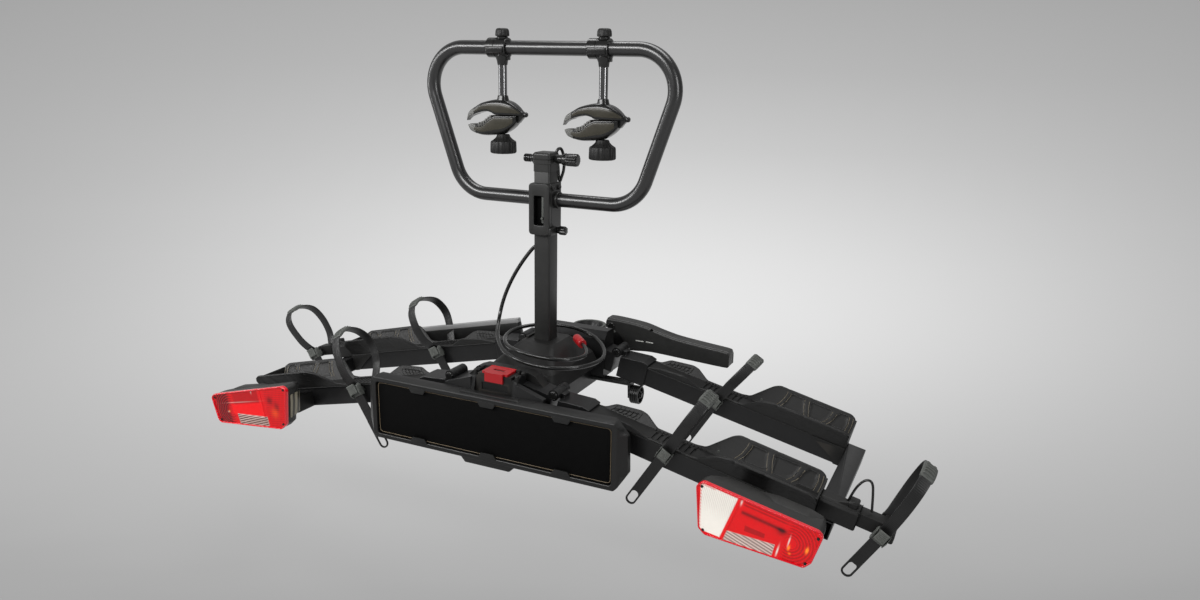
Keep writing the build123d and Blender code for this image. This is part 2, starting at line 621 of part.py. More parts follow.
def lock_bolt():
    """Cross bolt through the mast cap with its end knob and the lanyard of the lock."""
    z = MAST_TOP + 9
    left = MAST_W / 2 + 2
    bolt = bar_x(-left - 22, 66, MAST_Y, z, PIN_R)
    bolt += bar_x(-left - 24, -left - 6, MAST_Y, z, 7.5) + bar_x(-left - 6, -left, MAST_Y, z, 6.2)
    high = MAST_TOP + CAP_H
    behind = MAST_Y + MAST_D / 2
    points = [(12, behind - 8, high), (12, behind - 8, high + 8), (19, behind, high + 12), (26, behind + 9, high + 2),
              (24, behind + 10.5, high - 24), (20, behind + 10.5, high - 48), (14, behind + 10, high - 50),
              (11, behind + 10, high - 34), (11, behind + 9.5, high - 14), (11, behind + 2, high - 14)]
    route = FilletPolyline(*points, radius=bend_radii(points))
    section = Plane(origin=route @ 0, z_dir=route % 0) * Circle(LANYARD_R)
    return Compound(children=[bolt, sweep(section, path=route)])


def lock_knob():
    """Turning lock barrel on the right of the mast cap."""
    z = MAST_TOP + 9
    knob = bar_x(24, 42, MAST_Y, z, 9) + bar_x(40, 72, MAST_Y, z, 12.5)
    for index in range(8):
        angle = math.radians(45 * index)
        knob -= bar_x(50, 73, MAST_Y + 13.5 * math.cos(angle), z + 13.5 * math.sin(angle), 2)
    return knob - bar_x(20, 66, MAST_Y, z, PIN_R + PIN_CLEAR)


def hoop_tube():
    """Bent tube hoop that the bikes' frames are held on."""
    start = BRACKET_HALF
    route = FilletPolyline((start, HOOP_Y, HOOP_LOW_Z), (HOOP_LOW_HALF, HOOP_Y, HOOP_LOW_Z),
                           (HOOP_TOP_HALF, HOOP_Y, HOOP_TOP_Z), (-HOOP_TOP_HALF, HOOP_Y, HOOP_TOP_Z),
                           (-HOOP_LOW_HALF, HOOP_Y, HOOP_LOW_Z), (-start, HOOP_Y, HOOP_LOW_Z), radius=HOOP_BEND)
    place = Plane(origin=route @ 0, z_dir=route % 0)
    return sweep(place * (Circle(HOOP_R) - Circle(HOOP_R - HOOP_WALL)), path=route)


def hoop_bracket():
    """Sleeve on the mast with a windowed front frame and a socket for each hoop end."""
    half = BRACKET_HALF
    front = MAST_Y - MAST_D / 2 - 12
    back = MAST_Y + MAST_D / 2 + 6
    body = block(-half, half, front, back, BRACKET_LOW, BRACKET_HIGH)
    body = fillet(body.edges().filter_by(Axis.Y), 5)
    body -= block(-11, 11, front - 1, MAST_Y, BRACKET_LOW + 20, BRACKET_HIGH - 25)
    for side in (-1, 1):
        socket = bar_x(min(side * half, side * (half + SOCKET_LEN)), max(side * half, side * (half + SOCKET_LEN)),
                       HOOP_Y, HOOP_LOW_Z, SOCKET_R)
        socket -= bar_x(min(side * half, side * (half + 20)), max(side * half, side * (half + 20)),
                        HOOP_Y, HOOP_LOW_Z, HOOP_R)
        body += socket
    body += bar_x(half, half + 4, MAST_Y - 14, BRACKET_HIGH - 10, 5)
    clear_w = MAST_W / 2 + BRACKET_CLEAR
    clear_d = MAST_D / 2 + BRACKET_CLEAR
    body -= block(-clear_w, clear_w, MAST_Y - clear_d, MAST_Y + clear_d, BRACKET_LOW - 1, BRACKET_HIGH + 1)
    return body - bar_x(10, half + 5, MAST_Y, BRACKET_LOW + 8, 4 + PIN_CLEAR)


def bracket_knob():
    """Clamp screw of the hoop bracket."""
    z = BRACKET_LOW + 8
    knob = bar_x(MAST_W / 2 + BRACKET_CLEAR, BRACKET_HALF + 12, MAST_Y, z, 4)
    knob += bar_x(BRACKET_HALF + 0.6, BRACKET_HALF + 8, MAST_Y, z, 6.5)
    grip = bar_x(BRACKET_HALF + 8, BRACKET_HALF + 24, MAST_Y, z, 9)
    for index in range(6):
        angle = math.radians(60 * index)
        grip -= bar_x(BRACKET_HALF + 10, BRACKET_HALF + 25, MAST_Y + 10 * math.cos(angle), z + 10 * math.sin(angle), 2)
    return knob + grip


def jaw_plan(x):
    """Lens-shaped plan of both jaws, extruded upwards."""
    tip = x - 72
    end = x + 51
    half = JAW_HALF_W
    edge = Line((tip, HOOP_Y - 8), (tip, HOOP_Y + 8))
    edge += ThreePointArc((tip, HOOP_Y + 8), (x - 14, HOOP_Y + half), (end, HOOP_Y + 10))
    edge += Line((end, HOOP_Y + 10), (end, HOOP_Y - 10))
    edge += ThreePointArc((end, HOOP_Y - 10), (x - 14, HOOP_Y - half), (tip, HOOP_Y - 8))
    return Pos(0, 0, JAW_Z - 60) * extrude(make_face(edge), amount=120)


def jaw_outline(x, outer, inner):
    """Side form of a jaw between an outer and an inner arc, extruded along Y."""
    def spot(point):
        return (x + point[0], HOOP_Y - 30, JAW_Z + point[1])
    seam = (JAW_PIN_X - 10, inner[0][1])
    edge = ThreePointArc(*[spot(p) for p in outer])
    edge += Line(spot(outer[2]), spot(seam))
    edge += Line(spot(seam), spot(inner[0]))
    edge += ThreePointArc(*[spot(p) for p in inner])
    edge += Line(spot(inner[2]), spot(outer[0]))
    return extrude(make_face(edge), amount=60, dir=(0, 1, 0))


def clamp_arm(x):
    """Collar on the hoop, arm rod and the fixed upper jaw."""
    collar = bar_x(x - COLLAR_LEFT, x + COLLAR_RIGHT, HOOP_Y, HOOP_TOP_Z, COLLAR_R)
    collar += bar_z(x, HOOP_Y, HOOP_TOP_Z, HOOP_TOP_Z + COLLAR_R + 2, 9)
    collar += Pos(x, HOOP_Y, HOOP_TOP_Z - 26) * Cone(ROD_R + 1, 13, 18)
    collar -= bar_x(x - 60, x + 60, HOOP_Y, HOOP_TOP_Z, HOOP_R + COLLAR_CLEAR)
    rod = bar_z(x, HOOP_Y, JAW_Z + 30, HOOP_TOP_Z - 34, ROD_R)
    jaw = jaw_outline(x, [(-72, -8), (-14, 36), (JAW_PIN_X + 4, 8)], [(JAW_SEAM_X, 0.6), (-28, 8), (-66, -5)])
    jaw = jaw & jaw_plan(x)
    jaw += bar_y(x + JAW_PIN_X, HOOP_Y - 16, HOOP_Y + 16, JAW_Z + JAW_PIN_Z, 6)
    jaw += bar_z(x, HOOP_Y, JAW_Z + 26, JAW_Z + 38, 11)
    slot = JAW_LUG_HALF + 0.4
    jaw -= block(x + JAW_PIN_X - 8, x + JAW_PIN_X + 12, HOOP_Y - slot, HOOP_Y + slot, JAW_Z - 10, JAW_Z + 10)
    jaw += bar_y(x + JAW_PIN_X, HOOP_Y - 18, HOOP_Y + 18, JAW_Z + JAW_PIN_Z, 2.5)
    return collar + rod + jaw


def lower_jaw(x):
    """Hinged jaw with the bore of the clamp screw."""
    jaw = jaw_outline(x, [(-69, -18), (-14, -37), (JAW_PIN_X + 2, -1)], [(JAW_SEAM_X, -0.6), (-30, -19), (-67, -14)])
    jaw = jaw & jaw_plan(x)
    clear = block(x + JAW_PIN_X - 7, x + JAW_PIN_X + 12, HOOP_Y - 30, HOOP_Y + 30, JAW_Z - 12, JAW_Z + 12)
    jaw -= clear
    reach = JAW_LUG_HALF
    jaw += bar_y(x + JAW_PIN_X, HOOP_Y - reach, HOOP_Y + reach, JAW_Z + JAW_PIN_Z, 5.6)
    jaw += block(x + JAW_PIN_X - 7.5, x + JAW_PIN_X, HOOP_Y - reach, HOOP_Y + reach, JAW_Z - 14, JAW_Z + JAW_PIN_Z - 1)
    jaw -= bar_y(x + JAW_PIN_X, HOOP_Y - 30, HOOP_Y + 30, JAW_Z + JAW_PIN_Z, 2.5 + PIN_CLEAR)
    return jaw - bar_z(x, HOOP_Y, JAW_Z - 60, JAW_Z + 20, 4 + PIN_CLEAR)


def jaw_knob(x):
    """Clamp screw with its flared hand knob."""
    top = JAW_Z - 38.5
    screw = bar_z(x, HOOP_Y, top - 10, JAW_Z - 12, 4)
    neck = Pos(x, HOOP_Y, top - 7) * Cone(JAW_KNOB_R - 5, 10, 14)
    skirt = bar_z(x, HOOP_Y, top - 38, top - 13, JAW_KNOB_R)
    for index in range(10):
        angle = math.radians(36 * index)
        skirt -= bar_z(x + 28.5 * math.cos(angle), HOOP_Y + 28.5 * math.sin(angle), top - 39, top - 16, 3)
    return screw + neck + skirt


def collar_knob(x):
    """Knob that locks an arm collar on the hoop."""
    low = HOOP_TOP_Z + COLLAR_R + 2.3
    knob = bar_z(x, HOOP_Y, low, low + 18, 13.5)
    for index in range(8):
        angle = math.radians(45 * index)
        knob -= bar_z(x + 15 * math.cos(angle), HOOP_Y + 15 * math.sin(angle), low + 3, low + 19, 3)
    return knob


def latch_housing():
    """Latch box between the plate bracket's cheeks."""
    box = block(-LATCH_HALF - 5, LATCH_HALF + 5, LATCH_FRONT, LATCH_BACK, LATCH_LOW, LATCH_TOP - 6)
    box += block(-LATCH_HALF, LATCH_HALF, LATCH_FRONT, LATCH_BACK, LATCH_LOW, LATCH_TOP)
    for side in (-1, 1):
        low = min(side * 28.4, side * LATCH_HALF)
        high = max(side * 28.4, side * LATCH_HALF)
        box += block(low, high, LATCH_BACK - 7, LATCH_BACK, LATCH_TOP, LATCH_TOP + 5)
    box += bar_x(-30, 30, LATCH_BACK - 3.5, LATCH_TOP + 3, 1.5)
    box -= block(-10.4, 10.4, -395.4, -386.6, 0, 40)
    return box - block(-29, 29, LATCH_FRONT - 1, LATCH_FRONT + 2, 14, 29)


def latch_button():
    """Red release flap with its front tab."""
    flap = block(-28, 28, LATCH_FRONT + 1, LATCH_BACK - 3.5, LATCH_TOP + 0.4, LATCH_TOP + 4.6)
    flap += block(-20, 20, LATCH_FRONT - 4, LATCH_FRONT + 2, LATCH_TOP - 14, LATCH_TOP + 4.6)
    flap -= block(-21, 21, LATCH_FRONT - 0.4, LATCH_FRONT + 6, LATCH_TOP - 15, LATCH_TOP + 0.4)
    flap += bar_x(-28, 28, LATCH_BACK - 3.5, LATCH_TOP + 3, 2.6)
    flap -= block(-12, 12, -402, -394, LATCH_TOP + 2.6, LATCH_TOP + 6)
    return flap - bar_x(-40, 40, LATCH_BACK - 3.5, LATCH_TOP + 3, 1.5 + PIN_CLEAR)


def latch_bolt():
    """Latch bolt that drops towards the notch of the spine."""
    return block(-10, 10, -395, -387, SPINE_HIGH + 0.8, 26)


def holder_outline(y, points):
    """One eight-sided outline of the plate holder at depth y."""
    right = [(x, y, z) for x, z in points]
    left = [(-x, y, z) for x, z in reversed(points)]
    return make_face(Polyline(*(right + left), close=True))


def plate_holder():
    """Tray-shaped number plate holder with clip lugs."""
    half = PLATE_W / 2
    low = -PLATE_H
    rim = holder_outline(HOLDER_FRONT, [(half + 4, 9), (half + 10, 3), (half + 10, low - 3), (half + 4, low - 9)])
    mid = holder_outline(HOLDER_BACK - 10, [(half + 2, 13), (half + 25, -14), (half + 27, low + 24), (half + 6, low - 9)])
    back = holder_outline(HOLDER_BACK, [(half, 13), (half + 26, -16), (half + 28, low + 26), (half + 6, low - 8)])
    body = loft([rim, mid], ruled=True) + loft([mid, back], ruled=True)
    body -= block(-half, half, HOLDER_FRONT - 1, PLATE_Y, low, 0)
    for side in (-1, 1):
        near = side * (LATCH_HALF + 25)
        far = side * (half - 12)
        body -= block(min(near, far), max(near, far), PLATE_Y + 3, HOLDER_BACK + 1, low + 6, -6)
    for column in (-LUG_PITCH, 0, LUG_PITCH):
        for edge, inwards in ((0, -1), (low, 1)):
            lug = [(column - 22, edge - 3 * inwards), (column + 22, edge - 3 * inwards),
                   (column + 14, edge + 9 * inwards), (column - 14, edge + 9 * inwards)]
            body += side_plate(lug, HOLDER_FRONT, PLATE_Y - PLATE_ROOM)
    tab = side_plate([(-74, low - 6), (62, low - 6), (50, low - 18), (-60, low - 18)], HOLDER_BACK - 12, HOLDER_BACK)
    return body + tab


def trolley_bracket():
    """Arm under the hub that carries a trolley wheel's axle."""
    arm = block(40, WHEEL_X - WHEEL_W / 2 - 1, WHEEL_Y - 12, WHEEL_Y + 12, HUB_LOW - 6, HUB_LOW)
    ear_out = WHEEL_X - WHEEL_W / 2 - 1
    arm += cross_plate([(WHEEL_Y - 12, HUB_LOW), (WHEEL_Y + 12, HUB_LOW), (WHEEL_Y + 9, WHEEL_Z - 8),
                        (WHEEL_Y - 9, WHEEL_Z - 8)], ear_out - 6, ear_out)
    return arm + bar_x(ear_out, WHEEL_X + WHEEL_W / 2 + 3, WHEEL_Y, WHEEL_Z, AXLE_R)


def trolley_wheel():
    """Spoked trolley wheel."""
    low = WHEEL_X - WHEEL_W / 2
    high = WHEEL_X + WHEEL_W / 2
    wheel = bar_x(low, high, WHEEL_Y, WHEEL_Z, WHEEL_R)
    wheel -= bar_x(high - 7, high + 1, WHEEL_Y, WHEEL_Z, WHEEL_R - 4)
    wheel += bar_x(low, high, WHEEL_Y, WHEEL_Z, 8)
    for index in range(5):
        spoke = Pos(high - 4, WHEEL_Y, WHEEL_Z) * Rot(72 * index, 0, 0) * Pos(0, 0, 12) * Box(7, 3.2, 10)
        wheel += spoke
    return wheel - bar_x(low - 1, high + 1, WHEEL_Y, WHEEL_Z, AXLE_R + PIN_CLEAR)


CABLE_ROUTE = [(-8, -188, 268), (-34, -186, 262), (-64, -192, 224), (-90, -198, 180), (-108, -204, 134),
               (-113, -214, 94), (-92, -258, 72), (-48, -314, 62), (10, -348, 58), (70, -358, 56), (120, -334, 54),
               (148, -292, 54), (150, -240, 54), (126, -190, 58), (84, -152, 66), (30, -138, 74), (-30, -142, 74),
               (-78, -172, 70), (-90, -222, 66), (-62, -280, 64), (-8, -324, 68), (54, -338, 68), (102, -322, 64),
               (124, -280, 62), (112, -240, 64), (88, -216, 66)]
CAP_LENGTH = 40.0


def bend_radii(points):
    """Largest arc that the two runs at each corner allow."""
    radii = []
    for before, corner, after in zip(points, points[1:], points[2:]):
        first = Vector(*corner) - Vector(*before)
        second = Vector(*after) - Vector(*corner)
        turn = math.radians(first.get_angle(second))
        radii.append(0.45 * min(first.length, second.length) / math.tan(turn / 2))
    return radii


def security_cable():
    """Steel cable in a plastic sheath, wound round the mast."""
    radii = bend_radii(CABLE_ROUTE)
    print("cable radii", [round(r) for r in radii])
    route = FilletPolyline(*CABLE_ROUTE, radius=radii)
    section = Plane(origin=route @ 0, z_dir=route % 0) * Circle(CABLE_R)
    cable = sweep(section, path=route)
    print("cable volume over section times length", cable.volume / (math.pi * CABLE_R ** 2 * route.length))
    return cable


def cable_end_cap():
    """Red ferrule on the cable's end."""
    start = Vector(*CABLE_ROUTE[-1])
    place = Plane(origin=start, z_dir=start - Vector(*CABLE_ROUTE[-2]))
    return place * (Pos(0, 0, CAP_LENGTH / 2) * Cylinder(CAP_R, CAP_LENGTH))


def save_wing(side, extension_row, plain_row):
    """Writes every node of one wing."""
    place = PLACE[side]
    save(place(rail_frame()), f"{side}_rail_frame")
    save(Compound(children=[place(hinge_arm(row)) for row in RAIL_ROWS]), f"{side}_hinge_arms")
    for row in RAIL_ROWS:
        name = "front" if row == FRONT_RAIL_Y else "rear"
        body = tray(row, row == extension_row)
        if row == extension_row:
            body = body + extension_guide(row)
        save(place(body), f"{side}_{name}_tray")
    housing = lamp_housing()
    if side == "right":
        housing = Compound(children=[place(housing), place(lead_loop())])
    else:
        housing = place(housing)
    save(housing, f"{side}_lamp_housing")
    save(place(lamp_lens()), f"{side}_lamp_lens")
    seat = TUBE_W / 2
    band = strap_band(seat)
    fittings = strap_fittings(band, seat)
    ratchet = ratchet_lever()
    base = strap_frame(STRAP_S, TUBE_TOP + TRAY_FLOOR)
    rows = [Pos(0, row, 0) for row in RAIL_ROWS]
    save(Compound(children=[place(at * base * band) for at in rows]), f"{side}_wheel_straps")
    save(Compound(children=[place(at * base * fittings) for at in rows]), f"{side}_strap_fittings")
    for at, name in zip(rows, ("front", "rear")):
        save(place(at * base * ratchet), f"{side}_{name}_ratchet")
    save(place(extension_bar(extension_row)), f"{side}_extension_bar")
    tip = Pos(0, extension_row, 0) * strap_frame(EXT_STRAP_S, EXT_BAR_LOW + EXT_BAR_H - 2)
    tip_band = strap_band(SADDLE_HALF)
    save(place(tip * tip_band), f"{side}_extension_strap")
    save(place(tip * strap_fittings(tip_band, SADDLE_HALF)), f"{side}_extension_fittings")
    save(place(tip * ratchet), f"{side}_extension_ratchet")


def main():
    os.makedirs("parts", exist_ok=True)
    save(coupling_housing(), "coupling_housing")
    save(spine_beam(), "spine_beam")
    save(coupling_pins(), "coupling_pins")
    save(ball_jaw(), "ball_jaw")
    save(lever(), "lever")
    save(hub_frame(), "hub_frame")
    save(hub_cover(), "hub_cover")
    save(mast_tube(), "mast_tube")
    save(mast_cap(), "mast_cap")
    save(lock_bolt(), "lock_bolt")
    save(lock_knob(), "lock_knob")
    save(latch_housing(), "latch_housing")
    save(latch_button(), "latch_button")
    save(latch_bolt(), "latch_bolt")
    save(plate_holder(), "plate_holder")
    bracket = trolley_bracket()
    wheel = trolley_wheel()
    save(Compound(children=[bracket, mirror(bracket, about=Plane.YZ)]), "trolley_brackets")
    save(wheel, "right_trolley_wheel")
    save(mirror(wheel, about=Plane.YZ), "left_trolley_wheel")
    pins = []
    for place in PLACE.values():
        pins += [place(hinge_pin(row)) for row in RAIL_ROWS]
    save(Compound(children=pins), "hinge_pins")
    save_wing("right", FRONT_RAIL_Y, REAR_RAIL_Y)
    save_wing("left", REAR_RAIL_Y, FRONT_RAIL_Y)
    save(hoop_tube(), "hoop_tube")
    save(hoop_bracket(), "hoop_bracket")
    save(bracket_knob(), "bracket_knob")
    for side, x in ARM_XS.items():
        save(clamp_arm(x), f"{side}_clamp_arm")
        save(lower_jaw(x), f"{side}_lower_jaw")
        save(jaw_knob(x), f"{side}_jaw_knob")
        save(collar_knob(x), f"{side}_collar_knob")
    save(security_cable(), "security_cable")
    save(cable_end_cap(), "cable_end_cap")


main()
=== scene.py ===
import json
import math

import bmesh
import bpy
import numpy as np
from mathutils import Matrix, Vector

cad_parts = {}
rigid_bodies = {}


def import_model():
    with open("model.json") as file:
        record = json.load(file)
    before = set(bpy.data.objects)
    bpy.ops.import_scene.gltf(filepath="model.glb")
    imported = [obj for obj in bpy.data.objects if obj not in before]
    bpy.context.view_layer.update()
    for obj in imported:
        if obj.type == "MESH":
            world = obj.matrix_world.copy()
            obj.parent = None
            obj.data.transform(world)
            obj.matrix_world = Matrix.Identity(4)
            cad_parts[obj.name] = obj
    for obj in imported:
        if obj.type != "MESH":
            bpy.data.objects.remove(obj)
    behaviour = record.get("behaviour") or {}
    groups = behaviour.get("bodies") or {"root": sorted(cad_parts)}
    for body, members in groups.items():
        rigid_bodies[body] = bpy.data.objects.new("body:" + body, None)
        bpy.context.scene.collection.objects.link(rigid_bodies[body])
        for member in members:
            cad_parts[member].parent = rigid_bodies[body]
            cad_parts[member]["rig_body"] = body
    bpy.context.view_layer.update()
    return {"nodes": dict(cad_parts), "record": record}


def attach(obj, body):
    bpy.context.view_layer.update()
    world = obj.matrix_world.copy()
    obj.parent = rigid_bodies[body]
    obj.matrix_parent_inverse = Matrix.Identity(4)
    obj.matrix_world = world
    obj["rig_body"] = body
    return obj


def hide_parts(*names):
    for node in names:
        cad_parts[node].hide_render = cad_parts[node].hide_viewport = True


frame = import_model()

# Folding two-bike rack for a towball, in metres, in the frame of its solids.
# X runs to the right seen from behind the car, Y towards the car, Z up, from the towball's centre.

# Camera, from the perspective of the photograph
CAMERA_PLACE = (0.8599, -1.7924, 0.6311)
CAMERA_YAW = math.radians(24.955)
CAMERA_PITCH = math.radians(15.0)
CAMERA_ROLL = math.radians(1.028)
FOCAL_PIXELS = 892.65
PICTURE_WIDTH = 1200
SENSOR = 36.0

# Places shared with the solids
DROOP = math.radians(12.8)
APEX = 83.3
ROWS = {"front": -372.0, "rear": -82.0}
SIDES = ("right", "left")

NODES = frame["nodes"]


class Wire:
    """One output of a material's nodes. Arithmetic on it adds Math nodes."""

    def __init__(self, paint, socket):
        self.paint = paint
        self.socket = socket

    def maths(self, operation, first, second):
        return self.paint.node("ShaderNodeMath", {"operation": operation}, {0: first, 1: second})

    def __add__(self, other):
        return self.maths("ADD", self, other)

    def __radd__(self, other):
        return self.maths("ADD", other, self)

    def __sub__(self, other):
        return self.maths("SUBTRACT", self, other)

    def __rsub__(self, other):
        return self.maths("SUBTRACT", other, self)

    def __mul__(self, other):
        return self.maths("MULTIPLY", self, other)

    def __rmul__(self, other):
        return self.maths("MULTIPLY", other, self)

    def __pow__(self, other):
        return self.maths("POWER", self, other)


class Paint:
    """A material under construction: node() adds any node, surface() feeds the shader."""

    def __init__(self, name):
        self.material = bpy.data.materials.new(name)
        self.material.use_nodes = True
        self.tree = self.material.node_tree
        self.shader = self.tree.nodes["Principled BSDF"]
        self.place = self.node("ShaderNodeTexCoord", {}, {}, "Object")

    def plug(self, socket, value):
        if isinstance(value, Wire):
            self.tree.links.new(value.socket, socket)
        elif isinstance(value, tuple) and socket.type == "RGBA" and len(value) == 3:
            socket.default_value = (*value, 1.0)
        else:
            socket.default_value = value

    def node(self, kind, settings, inputs, output=0):
        node = self.tree.nodes.new(kind)
        for name, value in settings.items():
            setattr(node, name, value)
        for key, value in inputs.items():
            self.plug(node.inputs[key], value)
        return Wire(self, node.outputs[output])

    def noise(self, scale, detail=3.0, rough=0.5):
        """Cloudy pattern between 0 and 1, scale in cycles per metre."""
        return self.node("ShaderNodeTexNoise", {}, {"Vector": self.place, "Scale": scale, "Detail": detail,
                                                    "Roughness": rough})

    def between(self, value, low, high):
        """Smooth step of value from 0 at low to 1 at high."""
        return self.node("ShaderNodeMapRange", {"interpolation_type": "SMOOTHSTEP"},
                         {0: value, 1: low, 2: high, 3: 0.0, 4: 1.0})

    def mix(self, factor, first, second):
        """Colour mix."""
        return self.node("ShaderNodeMix", {"data_type": "RGBA"}, {0: factor, 6: first, 7: second}, 2)

    def bump(self, height, distance, strength=1.0):
        return self.node("ShaderNodeBump", {}, {"Height": height, "Distance": distance,
                                                "Strength": strength})

    def surface(self, **values):
        for name, value in values.items():
            self.plug(self.shader.inputs[name.replace("_", " ").title().replace("Ior", "IOR")], value)
        return self.material


def mottled(name, dark, light, rough, patchy=0.1, cloud=70.0, grain=None, **more):
    """Material that wanders between two colours in clouds, its roughness rough + patchy cloud.

    grain is the scale, detail and roughness of a fine noise and the distance and strength of its bump.
    """
    paint = Paint(name)
    cloud = paint.noise(cloud)
    if grain:
        more["normal"] = paint.bump(paint.noise(*grain[:3]), *grain[3:])
    return paint.surface(base_color=paint.mix(cloud, dark, light), roughness=rough + patchy * cloud, **more)


MOULD_DARK = (0.004, 0.004, 0.0039)
MOULD_LIGHT = (0.008, 0.0078, 0.0074)


def moulded_black(name, light):
    """Fine grained black moulding, light times as bright as the darkest, with a painted warm grey highlight
    on sharp edges.
    """
    paint = Paint(name)
    cloud = paint.noise(45.0)
    grain = paint.noise(1500.0, 2.0)
    # painted highlight: warm grey is mixed into the colour where the mesh is pointy, at the sharp edges
    edge = paint.between(paint.node("ShaderNodeNewGeometry", {}, {}, "Pointiness"), 0.6, 0.72)
    base = paint.mix(cloud, *[tuple(tone * light for tone in shade) for shade in (MOULD_DARK, MOULD_LIGHT)])
    colour = paint.mix(edge * 0.5, base, (0.05, 0.044, 0.037))
    return paint.surface(base_color=colour, roughness=0.42 + 0.15 * cloud, specular_ior_level=0.4,
                         normal=paint.bump(grain, 0.00015, 0.7))


def lens_plastic():
    """Moulded lens: red, clear or dark by the tones stored on its points, with a faint painted glow all over
    and painted orange glints that glow.
    """
    paint = Paint("lens_plastic")
    tones = paint.node("ShaderNodeAttribute", {"attribute_name": "tones"}, {})
    clear, dark, glow = [paint.node("ShaderNodeSeparateColor", {}, {0: tones}, part) for part in range(3)]
    cloud = paint.noise(120.0)
    red = paint.mix(cloud, (0.70, 0.0, 0.002), (0.85, 0.001, 0.004))
    shade = paint.mix(dark, red, (0.06, 0.0, 0.003))
    pale = paint.mix(dark, (0.88, 0.85, 0.79), (0.10, 0.06, 0.04))
    colour = paint.mix(clear, shade, pale)
    # painted glow: the whole lens emits faintly, red in its red fields and grey in its clear ones
    painted_glow = paint.mix(dark, paint.mix(clear, (0.16, 0.0, 0.0008), (0.24, 0.22, 0.19)), (0.01, 0.0, 0.0))
    # painted glints: orange emission where the glow tone is set
    light = paint.mix(glow, painted_glow, (1.0, 0.34, 0.02))
    return paint.surface(base_color=colour, roughness=0.12 + 0.08 * cloud, emission_color=light,
                         emission_strength=1.0, normal=paint.bump(paint.noise(500.0), 0.00008, 0.3))


def clear_plastic():
    """Beige clear window of the plate light, darker and lighter in upright strips."""
    paint = Paint("clear_plastic")
    strips = paint.node("ShaderNodeTexWave", {"bands_direction": "Y"},
                        {"Vector": paint.place, "Scale": 22.0, "Distortion": 1.5})
    colour = paint.mix(strips, (0.02, 0.018, 0.014), (0.30, 0.27, 0.20))
    return paint.surface(base_color=colour, roughness=0.2 + 0.1 * paint.noise(200.0))


# Paints by their short names
COAT_DARK = (0.004, 0.004, 0.0043)
COAT_LIGHT = (0.008, 0.008, 0.0083)
GLOSS = {"dark": (0.006, 0.006, 0.006), "light": (0.011, 0.011, 0.0105), "rough": 0.2, "cloud": 50.0,
         "grain": (300.0, 3.0, 0.5, 0.0001, 0.4), "coat_weight": 0.2, "coat_roughness": 0.1}
GREY = {"rough": 0.48, "patchy": 0.12, "cloud": 80.0, "grain": (1500.0, 2.0, 0.5, 0.00015, 0.6)}
PAINTS = {
    "powder": mottled("powder_coat", COAT_DARK, COAT_LIGHT, 0.26, 0.06, 35.0, (900.0, 2.0, 0.5, 0.00001, 0.4),
                      specular_ior_level=1.0),
    "cast": mottled("cast_coat", COAT_DARK, COAT_LIGHT, 0.32, 0.12, 60.0, (700.0, 4.0, 0.6, 0.00012, 0.6)),
    "moulded": moulded_black("moulded_black", 1.3),
    "housing": moulded_black("housing_black", 4.0),
    "knob": moulded_black("knob_black", 1.5),
    "grey": mottled("grey_moulded", (0.07, 0.075, 0.07), (0.105, 0.11, 0.1), **GREY),
    "grey_light": mottled("grey_lever", (0.0945, 0.10125, 0.0945), (0.14175, 0.1485, 0.135), **GREY),
    "gloss": mottled("gloss_black", **GLOSS),
    "band": mottled("band_black", (0.006, 0.006, 0.006), (0.012, 0.012, 0.012), 0.34, 0.12,
                    grain=(1200.0, 3.0, 0.5, 0.00008, 0.4)),
    # tan colour of the ribs on the tray walls
    "rubbed": mottled("rubbed_edge", (0.13, 0.11, 0.075), (0.27, 0.23, 0.16), 0.5, 0.0, 90.0),
    "red": mottled("red_moulded", (0.34, 0.0, 0.003), (0.44, 0.001, 0.006), 0.3, 0.1, 60.0,
                   coat_weight=0.2, coat_roughness=0.12),
    "rod": mottled("dark_chrome", (0.22, 0.22, 0.225), (0.28, 0.28, 0.285), 0.06, metallic=1.0),
    "face": mottled("olive_face", (0.030, 0.027, 0.018), (0.048, 0.043, 0.030), 0.28),
    "beak": mottled("grey_beak", (0.10, 0.10, 0.095), (0.16, 0.16, 0.15), 0.3),
    "panel": mottled("panel_black", (0.002, 0.002, 0.002), (0.004, 0.004, 0.004), 0.6,
                     specular_ior_level=0.06),
    "stripe": mottled("tan_line", (0.16, 0.12, 0.07), (0.24, 0.18, 0.11), 0.5),
    "post": mottled("satin_post", (0.014, 0.014, 0.0135), (0.022, 0.022, 0.021), 0.36),
    "handle": mottled("satin_moulding", (0.004, 0.004, 0.004), (0.008, 0.008, 0.0077), 0.34),
    # light grey of the rear bar's top strip, a painted highlight
    "guard": mottled("grey_guard", (0.26, 0.26, 0.26), (0.34, 0.34, 0.34), 0.3),
    "mark": mottled("pale_mark", (0.5, 0.5, 0.48), (0.65, 0.65, 0.62), 0.5),
    "cable": mottled("cable_sheath", **GLOSS),
    "lens": lens_plastic(),
    # the red rim also emits faintly, a painted glow
    "lens_rim": mottled("lens_rim", (0.62, 0.002, 0.010), (0.80, 0.006, 0.020), 0.16, 0.06, 60.0,
                        coat_weight=0.5, coat_roughness=0.05, emission_color=(0.10, 0.0, 0.002),
                        emission_strength=1.0),
    "clear": clear_plastic(),
}


def finished(obj, paint, sharp=30):
    """Gives a mesh its material and smooth shading with edges kept above the angle sharp."""
    obj.data.materials.clear()
    obj.data.materials.append(PAINTS[paint])
    obj.data.shade_smooth()
    obj.data.set_sharp_from_angle(angle=math.radians(sharp))
    return obj


PIN_EASE = 0.0004


